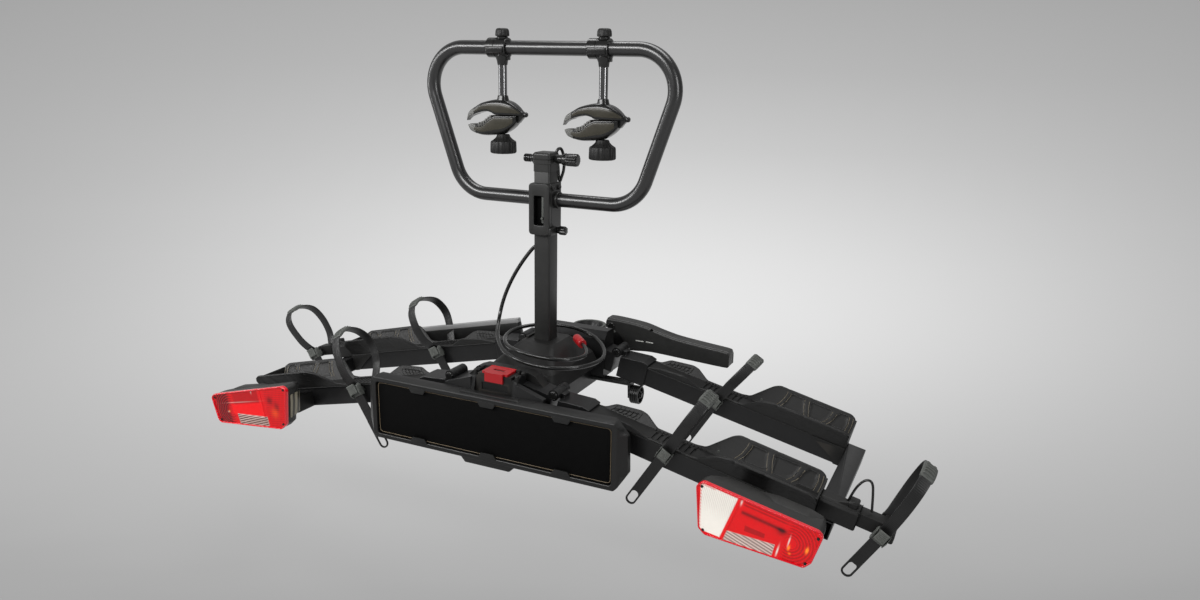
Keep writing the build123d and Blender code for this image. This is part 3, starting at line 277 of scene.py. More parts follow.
def softened(node, paint, slot, width=0.0012, steps=2):
    """Stands for a node: its own mesh, merged and with a bevel on every sharp edge.

    The coupling's pins are drawn in by PIN_EASE, so that their facets turn freely in those of the bores.
    """
    body = NODES[node]["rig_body"]
    mesh = NODES[node].data.copy()
    work = bmesh.new()
    work.from_mesh(mesh)
    bmesh.ops.remove_doubles(work, verts=work.verts, dist=0.00001)
    bmesh.ops.dissolve_limit(work, angle_limit=math.radians(1.0), verts=work.verts, edges=work.edges)
    if node == "coupling_pins":
        work.normal_update()
        for vertex in work.verts:
            vertex.co -= vertex.normal * PIN_EASE
    work.to_mesh(mesh)
    work.free()
    obj = bpy.data.objects.new(node + "_body", mesh)
    bpy.context.scene.collection.objects.link(obj)
    if width:
        bevel = obj.modifiers.new("edge", "BEVEL")
        bevel.width = width
        bevel.segments = steps
        bevel.limit_method = "ANGLE"
        bevel.angle_limit = math.radians(35)
        bevel.harden_normals = False
        bevel.use_clamp_overlap = True
    finished(obj, paint)
    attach(obj, body)
    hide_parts(node)
    return obj


# Measures on the flat right wing, in millimetres: s outwards, y towards the car, h square to the wing
MM = 0.001
LEAN = math.radians(19.0)
TRAY_START = 205.0
TRAY_END = 642.0
FLOOR_LOW = -44.0
FLOOR_TOP = -41.0
FLOOR_HALF = 24.0
WALL_FLARE = 25 / 44
WALL_ACROSS = 3.45
STRAP_SEAT = (372.0, -41.0)
EXTENSION_SEAT = (758.0, -18.0)
EXTENSION_ROW = {"right": "front", "left": "rear"}
PLANES = {"xy": [0, 1, 2], "xz": [0, 2, 1], "yz": [2, 0, 1]}


def on_wing(points, side):
    """Sets flat wing points (s, y, h) at the droop: x = s cos + h sin, z = apex - s sin + h cos."""
    s, y, h = np.moveaxis(np.asarray(points, float), -1, 0)
    x = s * math.cos(DROOP) + h * math.sin(DROOP)
    z = APEX - s * math.sin(DROOP) + h * math.cos(DROOP)
    return np.stack([x if side == "right" else -x, y, z], -1)


def on_strap(points, seat, row):
    """Sets strap points (across, y, up) on a flat wing: up leans outwards by LEAN from the seat (s, h)."""
    across, y, up = np.moveaxis(np.asarray(points, float), -1, 0)
    s = seat[0] + across * math.cos(LEAN) + up * math.sin(LEAN)
    h = seat[1] - across * math.sin(LEAN) + up * math.cos(LEAN)
    return np.stack([s, y + row, h], -1)


def rounded(corners, radius, steps=4, closed=True):
    """Line with an arc of radius in each corner, from one tangent point to the other.

    An arc is the conic (1-k)^2 a + 2k(1-k) w corner + k^2 b over its weights, w = cos(turn / 2).
    """
    corner = np.asarray(corners, float)
    before = np.roll(corner, 1, 0) - corner
    after = np.roll(corner, -1, 0) - corner
    run_before = np.linalg.norm(before, axis=1, keepdims=True)
    run_after = np.linalg.norm(after, axis=1, keepdims=True)
    turn = -np.sum(before / run_before * after / run_after, 1, keepdims=True)
    wanted = np.reshape(radius, (-1, 1)) * np.sqrt((1 - turn) / np.maximum(1 + turn, 1e-6))
    back = np.minimum(wanted, 0.48 * np.minimum(run_before, run_after))
    first = (corner + before / run_before * back)[:, None]
    last = (corner + after / run_after * back)[:, None]
    k = np.linspace(0, 1, steps + 1)[None, :, None]
    weight = 2 * k * (1 - k) * np.sqrt((1 + turn) / 2)[:, None]
    arcs = (1 - k) ** 2 * first + weight * corner[:, None] + k ** 2 * last
    arcs = arcs / ((1 - k) ** 2 + weight + k ** 2)
    if closed:
        return arcs.reshape(-1, corner.shape[1])
    return np.concatenate([corner[:1], arcs[1:-1].reshape(-1, corner.shape[1]), corner[-1:]])


def drawn_in(outline, by):
    """Closed outline moved inwards by a distance, each point along the mitre of its two edges."""
    edge = np.roll(outline, -1, 0) - outline
    area = np.sum(outline[:, 0] * np.roll(outline[:, 1], -1) - outline[:, 1] * np.roll(outline[:, 0], -1))
    length = np.linalg.norm(edge, axis=1, keepdims=True)
    normal = np.stack([-edge[:, 1], edge[:, 0]], 1) / np.maximum(length, 1e-9) * np.sign(area)
    behind = np.roll(normal, 1, 0)
    mitre = (normal + behind) / np.maximum(1 + np.sum(normal * behind, 1, keepdims=True), 0.4)
    return outline + mitre * by


def plate_levels(low, high, edge, steps):
    """Insets and levels up a plate with rims rounded by edge: inset edge (1 - sin t) at edge (1 - cos t)."""
    t = np.linspace(0, math.pi / 2, steps + 1)
    rims = list(zip(edge * (1 - np.sin(t)), edge * (1 - np.cos(t))))
    rising = [(inset, low + depth) for inset, depth in rims]
    return rising + [(inset, high - depth) for inset, depth in rims[::-1]]


def level_rows(outline, levels):
    """The outline drawn in by each inset, at each level."""
    return [np.column_stack([drawn_in(outline, inset), np.full(len(outline), level)])
            for inset, level in levels]


def slab(outline, low, high, plane, edge=1.0, steps=2):
    """Rows of a plate over an outline in plane, low to high on the third axis, its rims rounded by edge."""
    return np.stack(level_rows(outline, plate_levels(low, high, edge, steps)))[..., PLANES[plane]]


def ring_slab(outer, inner, low, high, plane, edge=1.0, steps=2):
    """Rows of a plate with a hole: up the outer outline and back down the inner one."""
    levels = plate_levels(low, high, edge, steps)
    back = [(-inset, level) for inset, level in levels[::-1]]
    return np.stack(level_rows(outer, levels) + level_rows(inner, back))[..., PLANES[plane]]


def seen_from(outline, centre, angles):
    """Points where rays from centre at the given angles first meet a closed outline."""
    start = outline - centre
    edge = np.roll(outline, -1, 0) - outline
    ray = np.stack([np.cos(angles), np.sin(angles)], 1)[:, None]
    cross = ray[..., 0] * edge[:, 1] - ray[..., 1] * edge[:, 0]
    cross = np.where(np.abs(cross) < 1e-9, 1e-9, cross)
    reach = (start[:, 0] * edge[:, 1] - start[:, 1] * edge[:, 0]) / cross
    along = (start[:, 0] * ray[..., 1] - start[:, 1] * ray[..., 0]) / cross
    hit = (reach > 0) & (along > -1e-6) & (along < 1 + 1e-6)
    return centre + ray[:, 0] * np.where(hit, reach, np.inf).min(1, keepdims=True)


def ringed(outer, inner, centre, count=48):
    """Both outlines of a ring sampled at the same angles from centre, the corners of both among them."""
    outer, inner, centre = [np.asarray(part, float) for part in (outer, inner, centre)]
    corners = np.concatenate([outer, inner]) - centre
    angles = np.concatenate([np.arctan2(corners[:, 1], corners[:, 0]), np.linspace(-3.14, 3.14, count)])
    angles = np.unique(np.round(angles, 4))
    return seen_from(outer, centre, angles), seen_from(inner, centre, angles)


def closed(outline):
    """The outline with its first point once more at the end."""
    return np.concatenate([outline, outline[:1]])


def circle(centre, radius, count=32):
    """Closed outline of a circle."""
    angle = np.linspace(0, 2 * math.pi, count, endpoint=False)
    return np.asarray(centre, float) + radius * np.stack([np.cos(angle), np.sin(angle)], 1)


def box_outline(a_low, a_high, b_low, b_high, radius=1.0, steps=3):
    """Rectangle with rounded corners."""
    return rounded([(a_low, b_low), (a_high, b_low), (a_high, b_high), (a_low, b_high)], radius, steps)


def lathe(profile, centre, plane, count=32, flutes=0):
    """Profile rows (along, radius, flute depth) turned round the third axis of plane through centre.

    Flutes take depth (0.5 + 0.5 cos(flutes angle))^2 off the radius.
    """
    profile = np.asarray(profile, float)
    angle = np.linspace(0, 2 * math.pi, count, endpoint=False)
    radius = np.repeat(profile[:, 1:2], count, 1)
    if flutes:
        radius = radius - profile[:, 2:3] * (0.5 + 0.5 * np.cos(flutes * angle)) ** 2
    along = np.repeat(profile[:, :1], count, 1)
    points = np.stack([radius * np.cos(angle), radius * np.sin(angle), along], -1)
    return points[..., PLANES[plane]] + np.asarray(centre, float)


def curve_through(points, count):
    """Catmull-Rom curve through points, sampled at even lengths."""
    knots = np.asarray(points, float)
    knots = np.concatenate([2 * knots[:1] - knots[1:2], knots, 2 * knots[-1:] - knots[-2:-1]])
    a, b, c, d = knots[:-3], knots[1:-2], knots[2:-1], knots[3:]
    t = np.linspace(0, 1, 16, endpoint=False)[:, None, None]
    dense = b + (c - a) * t / 2 + (a - 2.5 * b + 2 * c - d / 2) * t ** 2
    dense = dense + (1.5 * b - a / 2 - 1.5 * c + d / 2) * t ** 3
    dense = np.concatenate([dense.transpose(1, 0, 2).reshape(-1, knots.shape[1]), knots[-2:-1]])
    return evenly(dense, count)


def evenly(line, count, loop=False):
    """The same line sampled at even lengths."""
    length = np.concatenate([[0], np.cumsum(np.linalg.norm(np.diff(line, axis=0), axis=1))])
    at = np.linspace(0, length[-1], count, endpoint=not loop)
    return np.stack([np.interp(at, length, line[:, axis]) for axis in range(line.shape[1])], 1)


def swept(path, section, side, loop=False):
    """Section (across, out) carried along a path: across runs along side, out square to side and path."""
    path = np.asarray(path, float)
    side = np.asarray(side, float)
    ahead = np.roll(path, -1, 0) - np.roll(path, 1, 0) if loop else np.gradient(path, axis=0)
    out = np.cross(side, ahead)
    out = out / np.linalg.norm(out, axis=1, keepdims=True)
    return path[:, None] + section[..., :1] * side + section[..., 1:2] * out[:, None]


def smooth_step(value, low, high):
    """0 below low, 1 above high, 3t^2 - 2t^3 between."""
    t = np.clip((value - low) / (high - low), 0, 1)
    return t * t * (3 - 2 * t)


def inside(points, corners):
    """Distance inside a convex outline, negative outside: the least distance over its edges."""
    corners = np.asarray(corners, float)
    edge = np.roll(corners, -1, 0) - corners
    area = np.sum(corners[:, 0] * np.roll(corners[:, 1], -1) - corners[:, 1] * np.roll(corners[:, 0], -1))
    offset = points[..., None, :] - corners
    cross = edge[:, 0] * offset[..., 1] - edge[:, 1] * offset[..., 0]
    return (np.sign(area) * cross / np.linalg.norm(edge, axis=1)).min(-1)


class Shell:
    """Closed forms gathered for one piece, in millimetres."""

    def __init__(self):
        self.points = []
        self.faces = []
        self.count = 0

    def grid(self, rows, loop=False):
        """Quads over rows[i, j]: j closes on itself, and i too with loop, or else caps fill the end rows."""
        rows = np.asarray(rows, float)
        n, m = rows.shape[:2]
        index = self.count + np.arange(n * m).reshape(n, m)
        if not loop:
            self.faces += [index[0].tolist(), index[-1].tolist()]
        index = np.concatenate([index, index[:, :1]], 1)
        if loop:
            index = np.concatenate([index, index[:1]])
        quads = np.stack([index[:-1, :-1], index[1:, :-1], index[1:, 1:], index[:-1, 1:]], -1)
        self.faces += quads.reshape(-1, 4).tolist()
        self.points.append(rows.reshape(-1, 3))
        self.count += n * m
        return self

    def ring(self, rows):
        """Rows closed both ways, as a plate with a hole."""
        return self.grid(rows, True)

    def slab(self, *form):
        """Adds a plate."""
        return self.grid(slab(*form))

    def lathe(self, *form):
        """Adds a turned form."""
        return self.grid(lathe(*form))

    def moved(self, change, *details):
        """The same forms with every point changed by a placing function."""
        self.points = [change(np.concatenate(self.points), *details)]
        return self

    def piece(self, name, body, paint, slot, *nodes, sharp=32):
        """Object with outward faces and its paint, riding on body and standing for nodes."""
        mesh = bpy.data.meshes.new(name)
        mesh.from_pydata((np.concatenate(self.points) * MM).tolist(), [], self.faces)
        work = bmesh.new()
        work.from_mesh(mesh)
        bmesh.ops.remove_doubles(work, verts=work.verts, dist=0.000001)
        bmesh.ops.recalc_face_normals(work, faces=work.faces)
        work.to_mesh(mesh)
        work.free()
        obj = bpy.data.objects.new(name, mesh)
        bpy.context.scene.collection.objects.link(obj)
        finished(obj, paint, sharp)
        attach(obj, body)
        if nodes:
            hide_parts(*nodes)
        return obj

    def wing_piece(self, side, name, paint, slot, *nodes, sharp=32):
        """A piece drawn on the flat wing, set at the droop and riding on that side's wing."""
        shell = self.moved(on_wing, side)
        return shell.piece(f"{side}_{name}", f"{side}_wing", paint, slot, *nodes, sharp=sharp)


SLOT_OF = {row["node"]: row["material_slot"] for row in frame["record"]["subparts"]}
PAINT_OF = {"cast_black": "cast", "powder_coat": "powder", "steel_pins": "gloss", "black_moulding": "moulded",
            "red_release": "red", "red_lens": "lens_rim", "knob_plastic": "knob", "cable_sheath": "cable",
            "strap_band": "gloss", "grey_plastic": "grey", "jaw_plastic": "gloss"}


# Security cable
CABLE_ROUTE = [(-8, -188, 268), (-34, -186, 262), (-64, -192, 224), (-90, -198, 180), (-108, -204, 134),
               (-113, -214, 94), (-92, -258, 72), (-48, -314, 62), (10, -348, 58), (70, -358, 56),
               (120, -334, 54), (148, -292, 54), (150, -240, 54), (126, -190, 58), (84, -152, 66),
               (30, -138, 74), (-30, -142, 74), (-78, -172, 70), (-90, -222, 66), (-62, -280, 64),
               (-8, -324, 68), (54, -338, 68), (102, -322, 64), (124, -280, 62), (112, -240, 64),
               (88, -216, 66)]


def security_cable():
    """The cable's route as one smooth spline with a round section."""
    curve = bpy.data.curves.new("security_cable_line", "CURVE")
    curve.dimensions = "3D"
    curve.bevel_depth = 0.004
    curve.bevel_resolution = 6
    curve.resolution_u = 10
    curve.use_fill_caps = True
    spline = curve.splines.new("NURBS")
    spline.points.add(len(CABLE_ROUTE) - 1)
    for point, place in zip(spline.points, CABLE_ROUTE):
        point.co = (*(value / 1000 for value in place), 1.0)
    spline.order_u = 3
    spline.use_endpoint_u = True
    cable = bpy.data.objects.new("security_cable_line", curve)
    bpy.context.scene.collection.objects.link(cable)
    curve.materials.append(PAINTS["cable"])
    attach(cable, "platform")
    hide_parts("security_cable")


# Wheel trays: rim heights and forms on their walls, as (s, h)
TRAY_TOP = {"near": [(205, -40), (227, -33), (240, -29), (286, -23.5), (296, -25.5), (325, -39), (340, -38),
                     (405, -38), (424, -35), (462, -4), (482, 1), (628, -1), (640, -7), (642, -16)],
            "far": [(205, -40), (218, -39), (236, -28), (286, -22), (300, -24), (327, -38), (340, -38),
                    (405, -38), (424, -35), (462, -3), (474, 2), (628, 0), (640, -6), (642, -16)]}
LADDER_SLOTS = [330 + 11 * index for index in range(8)]
POCKETS = [
    [(502, -4), (530, -5), (540, -31), (492, -32)],
    [(545, -5), (588, -5), (592, -9), (587, -24), (577, -32), (549, -32)],
    [(600, -13), (609, -4), (622, -5), (627, -19), (625, -31), (593, -31)],
]
RIBS = [[(479, -34), (487, -24), (492.5, -10), (493, -3)],
        [(487, -34), (495, -24), (500.5, -10), (501, -4)],
        [(540, -32), (534, -18), (531, -6)], [(550, -33), (544, -18), (541, -5)],
        [(577, -33), (587, -23), (592, -7)],
        [(586, -34), (596, -23), (601, -9)], [(626, -32), (628, -18), (626, -6)],
        [(634, -33), (635.5, -18), (634, -6)]]
LEAF = [(230, -38), (246, -33), (284, -28), (291, -31), (278, -38), (250, -40)]
WALL_SQUARE = (0.87, 0.49)
CREASES = (493, 548)
RIM_ROUND = 2.2
LIP = 2.8
SLOT_LENGTH = 5
SLOT_DEPTH = 2.6


def wall_place(points, row, face, off):
    """Sets points (s, h) on a tray wall: y = row + face (half floor + flare (h - floor) + off)."""
    s, h = np.moveaxis(np.asarray(points, float), -1, 0)
    return np.stack([s, row + face * (FLOOR_HALF + WALL_FLARE * (h - FLOOR_LOW) + off), h], -1)


def tray_top(wall, s):
    """Height of a wall's rim at s: straight between its corners, averaged over 9 mm."""
    fine = np.arange(TRAY_START - 10, TRAY_END + 10, 1.0)
    height = np.interp(fine, *np.transpose(TRAY_TOP[wall]))
    soft = np.convolve(np.pad(height, 4, "edge"), np.full(9, 1 / 9), "valid")
    return np.interp(s, fine, soft)


def dished(s, h):
    """How far a wall is pressed in at (s, h): 1.3 mm in the pockets, 1 mm in the leaf, growing over 2 mm."""
    spots = np.stack([s, h], -1)
    depth = sum(1.3 * smooth_step(inside(spots, pocket), 0, 2) for pocket in POCKETS)
    return depth + smooth_step(inside(spots, LEAF), 0, 2)


def tray_rows(row):
    """Wheel tray: one closed section carried along s.

    The section climbs the near wall outside, rounds its rim by RIM_ROUND, goes down inside, over the floor
    and back along the far wall. A lip stands out under the rim, and the pockets press the walls in.
    """
    slots = [edge + shift for edge in LADDER_SLOTS for shift in (0, 0.4, SLOT_LENGTH - 0.4, SLOT_LENGTH)]
    s = np.unique(np.concatenate([np.arange(TRAY_START, TRAY_END, 3.0), slots, [TRAY_END]]))
    rise = np.linspace(0, 1, 15)
    turn = np.linspace(0, math.pi, 7)[1:-1]
    parts = []
    for wall, face in (("near", -1), ("far", 1)):
        rim = (tray_top(wall, s) - RIM_ROUND)[:, None]
        h = FLOOR_LOW + (rim - FLOOR_LOW) * rise
        across = np.repeat(s[:, None], len(rise), 1)
        lip = LIP * smooth_step(h, rim - 15, rim - 4) * smooth_step(rim, -34, -12)
        crease = sum(np.exp(-((across - place) / 2.5) ** 2) for place in CREASES)
        lip = lip * (1 - 0.6 * crease)
        outer = wall_place(np.stack([across, h], -1), row, face, lip - 0.7 * dished(across, h))
        h = FLOOR_TOP + (rim - FLOOR_TOP) * rise
        inner = wall_place(np.stack([across, h], -1), row, face, -WALL_ACROSS + dished(across, h))
        top = outer[:, -1:]
        foot = inner[:, -1:]
        middle = (top + foot) / 2
        arc = middle + (top - middle) * np.cos(turn)[:, None] + [0, 0, RIM_ROUND] * np.sin(turn)[:, None]
        parts.append(np.concatenate([outer, arc, inner[:, ::-1]], 1))
    y = np.array([-14.4, -14, -6, 0, 6, 14, 14.4])
    slotted = np.any([(s > edge) & (s < edge + SLOT_LENGTH) for edge in LADDER_SLOTS], 0)
    depth = np.where(slotted[:, None] & (np.abs(y) < 14.2), SLOT_DEPTH, 0)
    floor = np.stack(np.broadcast_arrays(s[:, None], y + row, FLOOR_TOP - depth), -1)
    return np.concatenate([parts[0], floor, parts[1][:, ::-1]], 1)


def tray(side, name, row, extension):
    """Wheel tray with its end: pierced walls, or a gate and a guide for the sliding bar of an extension."""
    shell = Shell().grid(tray_rows(row))
    bar_half, bar_top = 15.6, -15.4
    wall_top = float(tray_top("near", TRAY_END - 4))
    half = FLOOR_HALF + WALL_FLARE * (wall_top - FLOOR_LOW) - 1
    if extension:
        for face in (-1, 1):
            corners = [(row + face * bar_half, FLOOR_LOW), (row + face * (FLOOR_HALF - 1), FLOOR_LOW),
                       (row + face * half, wall_top), (row + face * bar_half, wall_top)]
            shell.slab(rounded(corners, 1.0), TRAY_END - 3, TRAY_END, "yz", 0.5)
        lintel = box_outline(row - bar_half - 1, row + bar_half + 1, bar_top, wall_top, 0.5)
        shell.slab(lintel, TRAY_END - 3, TRAY_END, "yz", 0.5)
        outline = [(row - 19.4, -50), (row + 19.4, -50), (row + 19.4, -20), (row + 11, -12.6),
                   (row - 11, -12.6), (row - 19.4, -20)]
        tunnel = box_outline(row - 15.4, row + 15.4, -41, -15.6, 0.6)
        guide = ringed(rounded(outline, 2), tunnel, (row, -28))
        shell.ring(ring_slab(*guide, TRAY_END - 1, 712, "yz", 3.4, 3))
        rib = rounded([(668, -15), (684, -15), (704, -4.6), (698, -3), (676, -11)], 1.5)
        shell.slab(rib, row - 12, row - 6, "xz", 1)
        shell.slab(box_outline(688, 706, row - 13, row + 13, 4), -16, -4, "xy", 3, 3)
    else:
        for face in (-1, 1):
            corners = [(row, FLOOR_LOW), (row + face * (FLOOR_HALF - 1), FLOOR_LOW),
                       (row + face * half, wall_top), (row, wall_top)]
            rings = ringed(rounded(corners, 0.8), circle((row + face * 18, -24), 4), (row + face * 18, -24))
            shell.ring(ring_slab(*rings, TRAY_END - 3, TRAY_END, "yz", 0.5))
    skirt = rounded([(566, -43), (584, -52), (629, -84), (642, -84), (642, -43)], 2.5)
    for face in (-1, 1):
        low, high = sorted((22 * face, 26 * face))
        shell.slab(skirt, row + low, row + high, "xz", 1.0)
    flange = curve_through([(206, -43), (330, -43), (420, -43), (566, -43)], 60)
    for face in (-1, 1):
        shell.grid(swept(wall_place(flange, row, face, 0.3), circle((0, 0), 1.2, 8), (0, face, 0)))
    shell.wing_piece(side, f"{name}_tray_shell", "moulded", "black_moulding", f"{side}_{name}_tray",
                     sharp=38)


def tray_lines(side, name, row):
    """Tan ribs between the pockets in pairs, dark lips round the pockets and ribs of the inner lobe."""
    bead = circle((0, 0), 0.5, 6)
    edges = Shell()
    lips = Shell()
    for face in (-1, 1):
        out = (0, -face * WALL_SQUARE[0], WALL_SQUARE[1])
        for rib in RIBS:
            line = wall_place(curve_through(rib, 24), row, face, -WALL_ACROSS - 0.1)
            edges.grid(swept(line, bead, out))
        for pocket in POCKETS:
            outline = evenly(closed(rounded(pocket, 4.0)), 72, True)
            lips.ring(swept(wall_place(outline, row, face, -WALL_ACROSS - 0.15), bead, out, True))
    edges.wing_piece(side, f"{name}_tray_edges", "rubbed", "black_moulding")
    lips.wing_piece(side, f"{name}_tray_lips", "handle", "black_moulding")
    ribs = Shell()
    for face in (-1, 1):
        out = (0, -face * WALL_SQUARE[0], WALL_SQUARE[1])
        for index in range(7):
            s = 236 + 8.5 * index
            arc = curve_through([(s - 6, -40), (s, -35), (s + 3, -29.5 + 0.5 * index)], 12)
            ribs.grid(swept(wall_place(arc, row, face, -WALL_ACROSS), bead * 1.6, out))
        low, high = sorted((face * 17, face * 23))
        for index in range(14):
            tooth = box_outline(324 + 7 * index, 327.5 + 7 * index, row + low, row + high, 0.6)
            ribs.slab(tooth, FLOOR_TOP - 0.5, FLOOR_TOP + 1.6, "xy", 0.5)
    screw = lathe([(0, 2.6), (1.0, 2.2), (1.3, 0.01)], (0, 0, 0), "xz", 12)
    ribs.wing_piece(side, f"{name}_tray_ribs", "moulded", "black_moulding")
    dot = Shell().grid(screw * [1, -1, 1] + wall_place([(448, -34)], row, 1, -WALL_ACROSS + 0.2)[0])
    dot.wing_piece(side, f"{name}_tray_screw", "grey", "grey_plastic")


# Straps: each loop's centre line as (y, up) from its seat
LOOPS = {
    "upright": [(31, -6), (45, 30), (52, 66), (43, 101), (22, 119), (-2, 123),
                (-26, 118), (-45, 98), (-51, 64), (-44, 26), (-33, -4)],
    "low": [(31, -6), (43, 28), (48, 60), (41, 90), (21, 106), (-2, 110),
            (-25, 106), (-42, 88), (-48, 58), (-42, 24), (-33, -4)],
    "left_rear": [(31, -6), (52, 30), (64, 70), (50, 104), (16, 119),
                  (-22, 119), (-50, 98), (-60, 60), (-54, 22), (-33, -4)],
    "left_front": [(31, -6), (60, 28), (72, 70), (58, 102), (26, 118),
                   (-6, 110), (-28, 84), (-40, 42), (-40, 12), (-33, -4)],
    "left_extension": [(31, -6), (45, 28), (46, 70), (30, 104), (-8, 117),
                       (-46, 109), (-63, 83), (-58, 40), (-46, 10), (-33, -4)],
}
TAIL_END = {"left": -147.0, "right": -140.0, "outer": -112.0}
BAND_HALF = {"right": 10.5, "left": 12.0}
TOOTH_PITCH = 3.4
TOOTH_HEIGHT = 0.45
TWIST = math.radians(6.0)
SWAY = {"right_rear": 0.13, "right_outer": -0.10, "left_outer": 0.03, "left_front": 0.05}


def turned(points):
    """Strap points of the left side: the loop turns by TWIST as it rises and is a little narrower."""
    across, y, up = np.moveaxis(points, -1, 0)
    angle = TWIST * smooth_step(up, 5, 45)
    y = y * (1 - 0.08 * smooth_step(up, 5, 45))
    ahead = across * np.sin(angle) + y * np.cos(angle)
    return np.stack([across * np.cos(angle) - y * np.sin(angle), ahead, up], -1)


def swayed(points, by):
    """Strap points sheared across by a share of their height above 5 mm."""
    return points + np.array([1, 0, 0]) * by * np.maximum(points[..., 2:] - 5, 0)


def strap(name, body, loop, seat, row, side, node, fittings, ratchet):
    """Ratchet strap on its seat: toothed band with a slotted tail, ribbed rim pad, buckle and its lever.

    The band is a flat section carried round the loop, its teeth TOOTH_HEIGHT sin^2(pi along / TOOTH_PITCH)
    high. On the left wing the loops are turned. The lever rides on the body ratchet, named as its node.
    """
    def placed(shell):
        if side == "left":
            shell.moved(turned)
        shell.moved(swayed, SWAY.get(name, 0))
        return shell.moved(on_strap, seat, row).moved(on_wing, side)

    line = curve_through(LOOPS[loop], 520)
    step = np.linalg.norm(line[1] - line[0])
    top = int(np.argmax(line[:, 1]) + 13 / step)
    tail = curve_through([(-33, -4), (-34.5, -30), (-34.5, -82)], 60)
    line = np.concatenate([line, tail[1:]])
    along = np.arange(len(line)) * step
    path = np.column_stack([np.zeros(len(line)), line])
    tooth = TOOTH_HEIGHT * np.sin(math.pi * along / TOOTH_PITCH) ** 2
    wide = BAND_HALF[side]
    outline = rounded([(-wide, -1.25), (wide, -1.25), (wide, 1.25), (-wide, 1.25)], 0.8, 2)
    extra = np.array([[2.5 - wide, -1.25], [wide - 2.5, -1.25]])
    outline = np.concatenate([outline[:3], extra, outline[3:]])
    section = np.repeat(outline[None], len(path), 0)
    section[:, 3:5, 1] -= tooth[:, None]
    band = Shell().grid(swept(path, section, (1, 0, 0)))
    end = TAIL_END["outer" if "outer" in name else side]
    hole = wide - 3.4
    tongue = [(-wide, -80), (wide, -80), (wide, end), (-wide, end)]
    tongue = rounded(tongue, [0.5, 0.5, wide - 0.5, wide - 0.5], 8)
    slot = [(-hole, end + 31), (hole, end + 31), (hole, end + 3.4), (-hole, end + 3.4)]
    rings = ringed(tongue, rounded(slot, hole - 0.2, 8), (0, end + 16), 40)
    band.ring(ring_slab(*rings, -36.2, -33, "xz", 0.7))
    band.slab(box_outline(-wide, wide, -20, -6.3, 1), 29, 36, "xz", 0.8)
    band.slab(box_outline(-wide, wide, -20, -9, 1), 22.4, 31, "xz", 0.6)
    placed(band).piece(f"{name}_strap_band", body, "band", "strap_band", node, sharp=40)

    spread = 22 / step
    part = evenly(path[int(top - spread):int(top + spread) + 1], 84)
    out = wide + 2.2
    outline = evenly(rounded([(-out, -4.5), (out, -4.5), (out, 4.0), (-out, 4.0)], 2.2, 4), 48, True)
    section = np.repeat(outline[None], len(part), 0)
    run = np.linspace(-21, 21, len(part))[:, None]
    ends = np.sqrt(np.clip(1 - (np.abs(run) / 21.4) ** 6, 0.02, 1))
    bow = run - 0.02 * section[..., 0] ** 2
    groove = smooth_step(np.cos(2 * math.pi * bow / 6.2), -0.5, 0.4) * (np.abs(run) < 17)
    inside_edge = smooth_step(out - 2.5 - np.abs(section[..., 0]), 0, 2)
    section[..., 1] *= ends
    section[..., 0] *= 0.9 + 0.1 * ends
    section[..., 1] -= np.where(section[..., 1] < -2, 2.6 * groove * inside_edge - 1.6, 0)
    pad = Shell().grid(swept(part, section, (1, 0, 0)))
    for face in (-1, 1):
        cheek = [(-29.5, -26), (-29.5, -2), (-33, 1), (-38, 1), (-43, -4), (-44, -18), (-40, -25)]
        low, high = sorted((face * 11.2, face * (wide + 2.5)))
        pad.slab(rounded(cheek, 2.5), low, high, "yz", 1.2)
        for y, z in ((-40.5, -14), (-34, -5)):
            head = [(face * (wide + 2.3), 2.4), (face * (wide + 3.1), 2.2), (face * (wide + 3.5), 0.01)]
            pad.lathe(head, (0, y, z), "yz", 12)
    pad.slab(box_outline(-11.5, 11.5, -24, -1, 1), -38, -29.5, "xz", 0.8)
    pad.slab(box_outline(-wide, wide, -20, -9, 1), -30, -22.4, "xz", 0.8)
    placed(pad).piece(f"{name}_strap_fittings", body, "grey", "grey_plastic", fittings)

    half = wide - 1.2
    outline = rounded([(-46, -17), (-46, -2), (-47.6, 3), (-45.4, 4.5), (-43.2, -1), (-42.4, -17)], 1.2)
    lever = Shell().slab(outline, -half, half, "yz", 0.8)
    for index in range(5):
        rib = box_outline(-7, 7, -15 + 3.0 * index, -13.5 + 3.0 * index, 0.5)
        lever.slab(rib, -46.8, -45.6, "xz", 0.4)
    lever.lathe([(-half, 2.8), (half, 2.8)], (0, -41, -14), "yz", 16)
    placed(lever).piece(f"{name}_strap_lever", ratchet, "grey_light", "grey_plastic", ratchet)


# Lamps, as (s, h), and the depths y of the lens
LAMP_OUTLINE = {"right": [(459, -22), (468, -10.5), (665, -9.5), (675, -16),
                          (671, -67), (662, -81), (496, -102), (482, -94)],
                "left": [(457, -12), (468, -5), (669, -11.5), (680, -17),
                         (676, -67), (671, -76), (496, -97), (481, -88)]}
LENS_FRONT = -510.0
LENS_BACK = -501.0
LENS_FACE = -507.5
CLEAR_WINDOW = [(465, -14), (531, -14), (521, -95), (484, -97)]
CLEAR_STRIP = {"right": [(529, -77), (608.5, -64), (609, -86), (527, -97)],
               "left": [(529.5, -69), (614, -58), (612, -81), (529, -89.5)]}
LAMP_SCREWS = {"right": [(469, -20), (491, -95), (668, -22), (662, -73)],
               "left": [(466, -13), (489, -87), (671, -20), (667, -69)]}


def ripple(value, pitch):
    """Wave from 0 to 1 with the given pitch."""
    return 0.5 + 0.5 * np.cos(2 * math.pi * value / pitch)


def spot(s, h, s0, h0, wide, tall):
    """Soft round spot: exp of minus the squared distance over its half sizes."""
    return np.exp(-((s - s0) / wide) ** 2 - ((h - h0) / tall) ** 2)


def level_bar(h, h0, tall):
    """Soft bar along the lens at the height h0."""
    return spot(h, h, h0, h0, tall, 9e9)


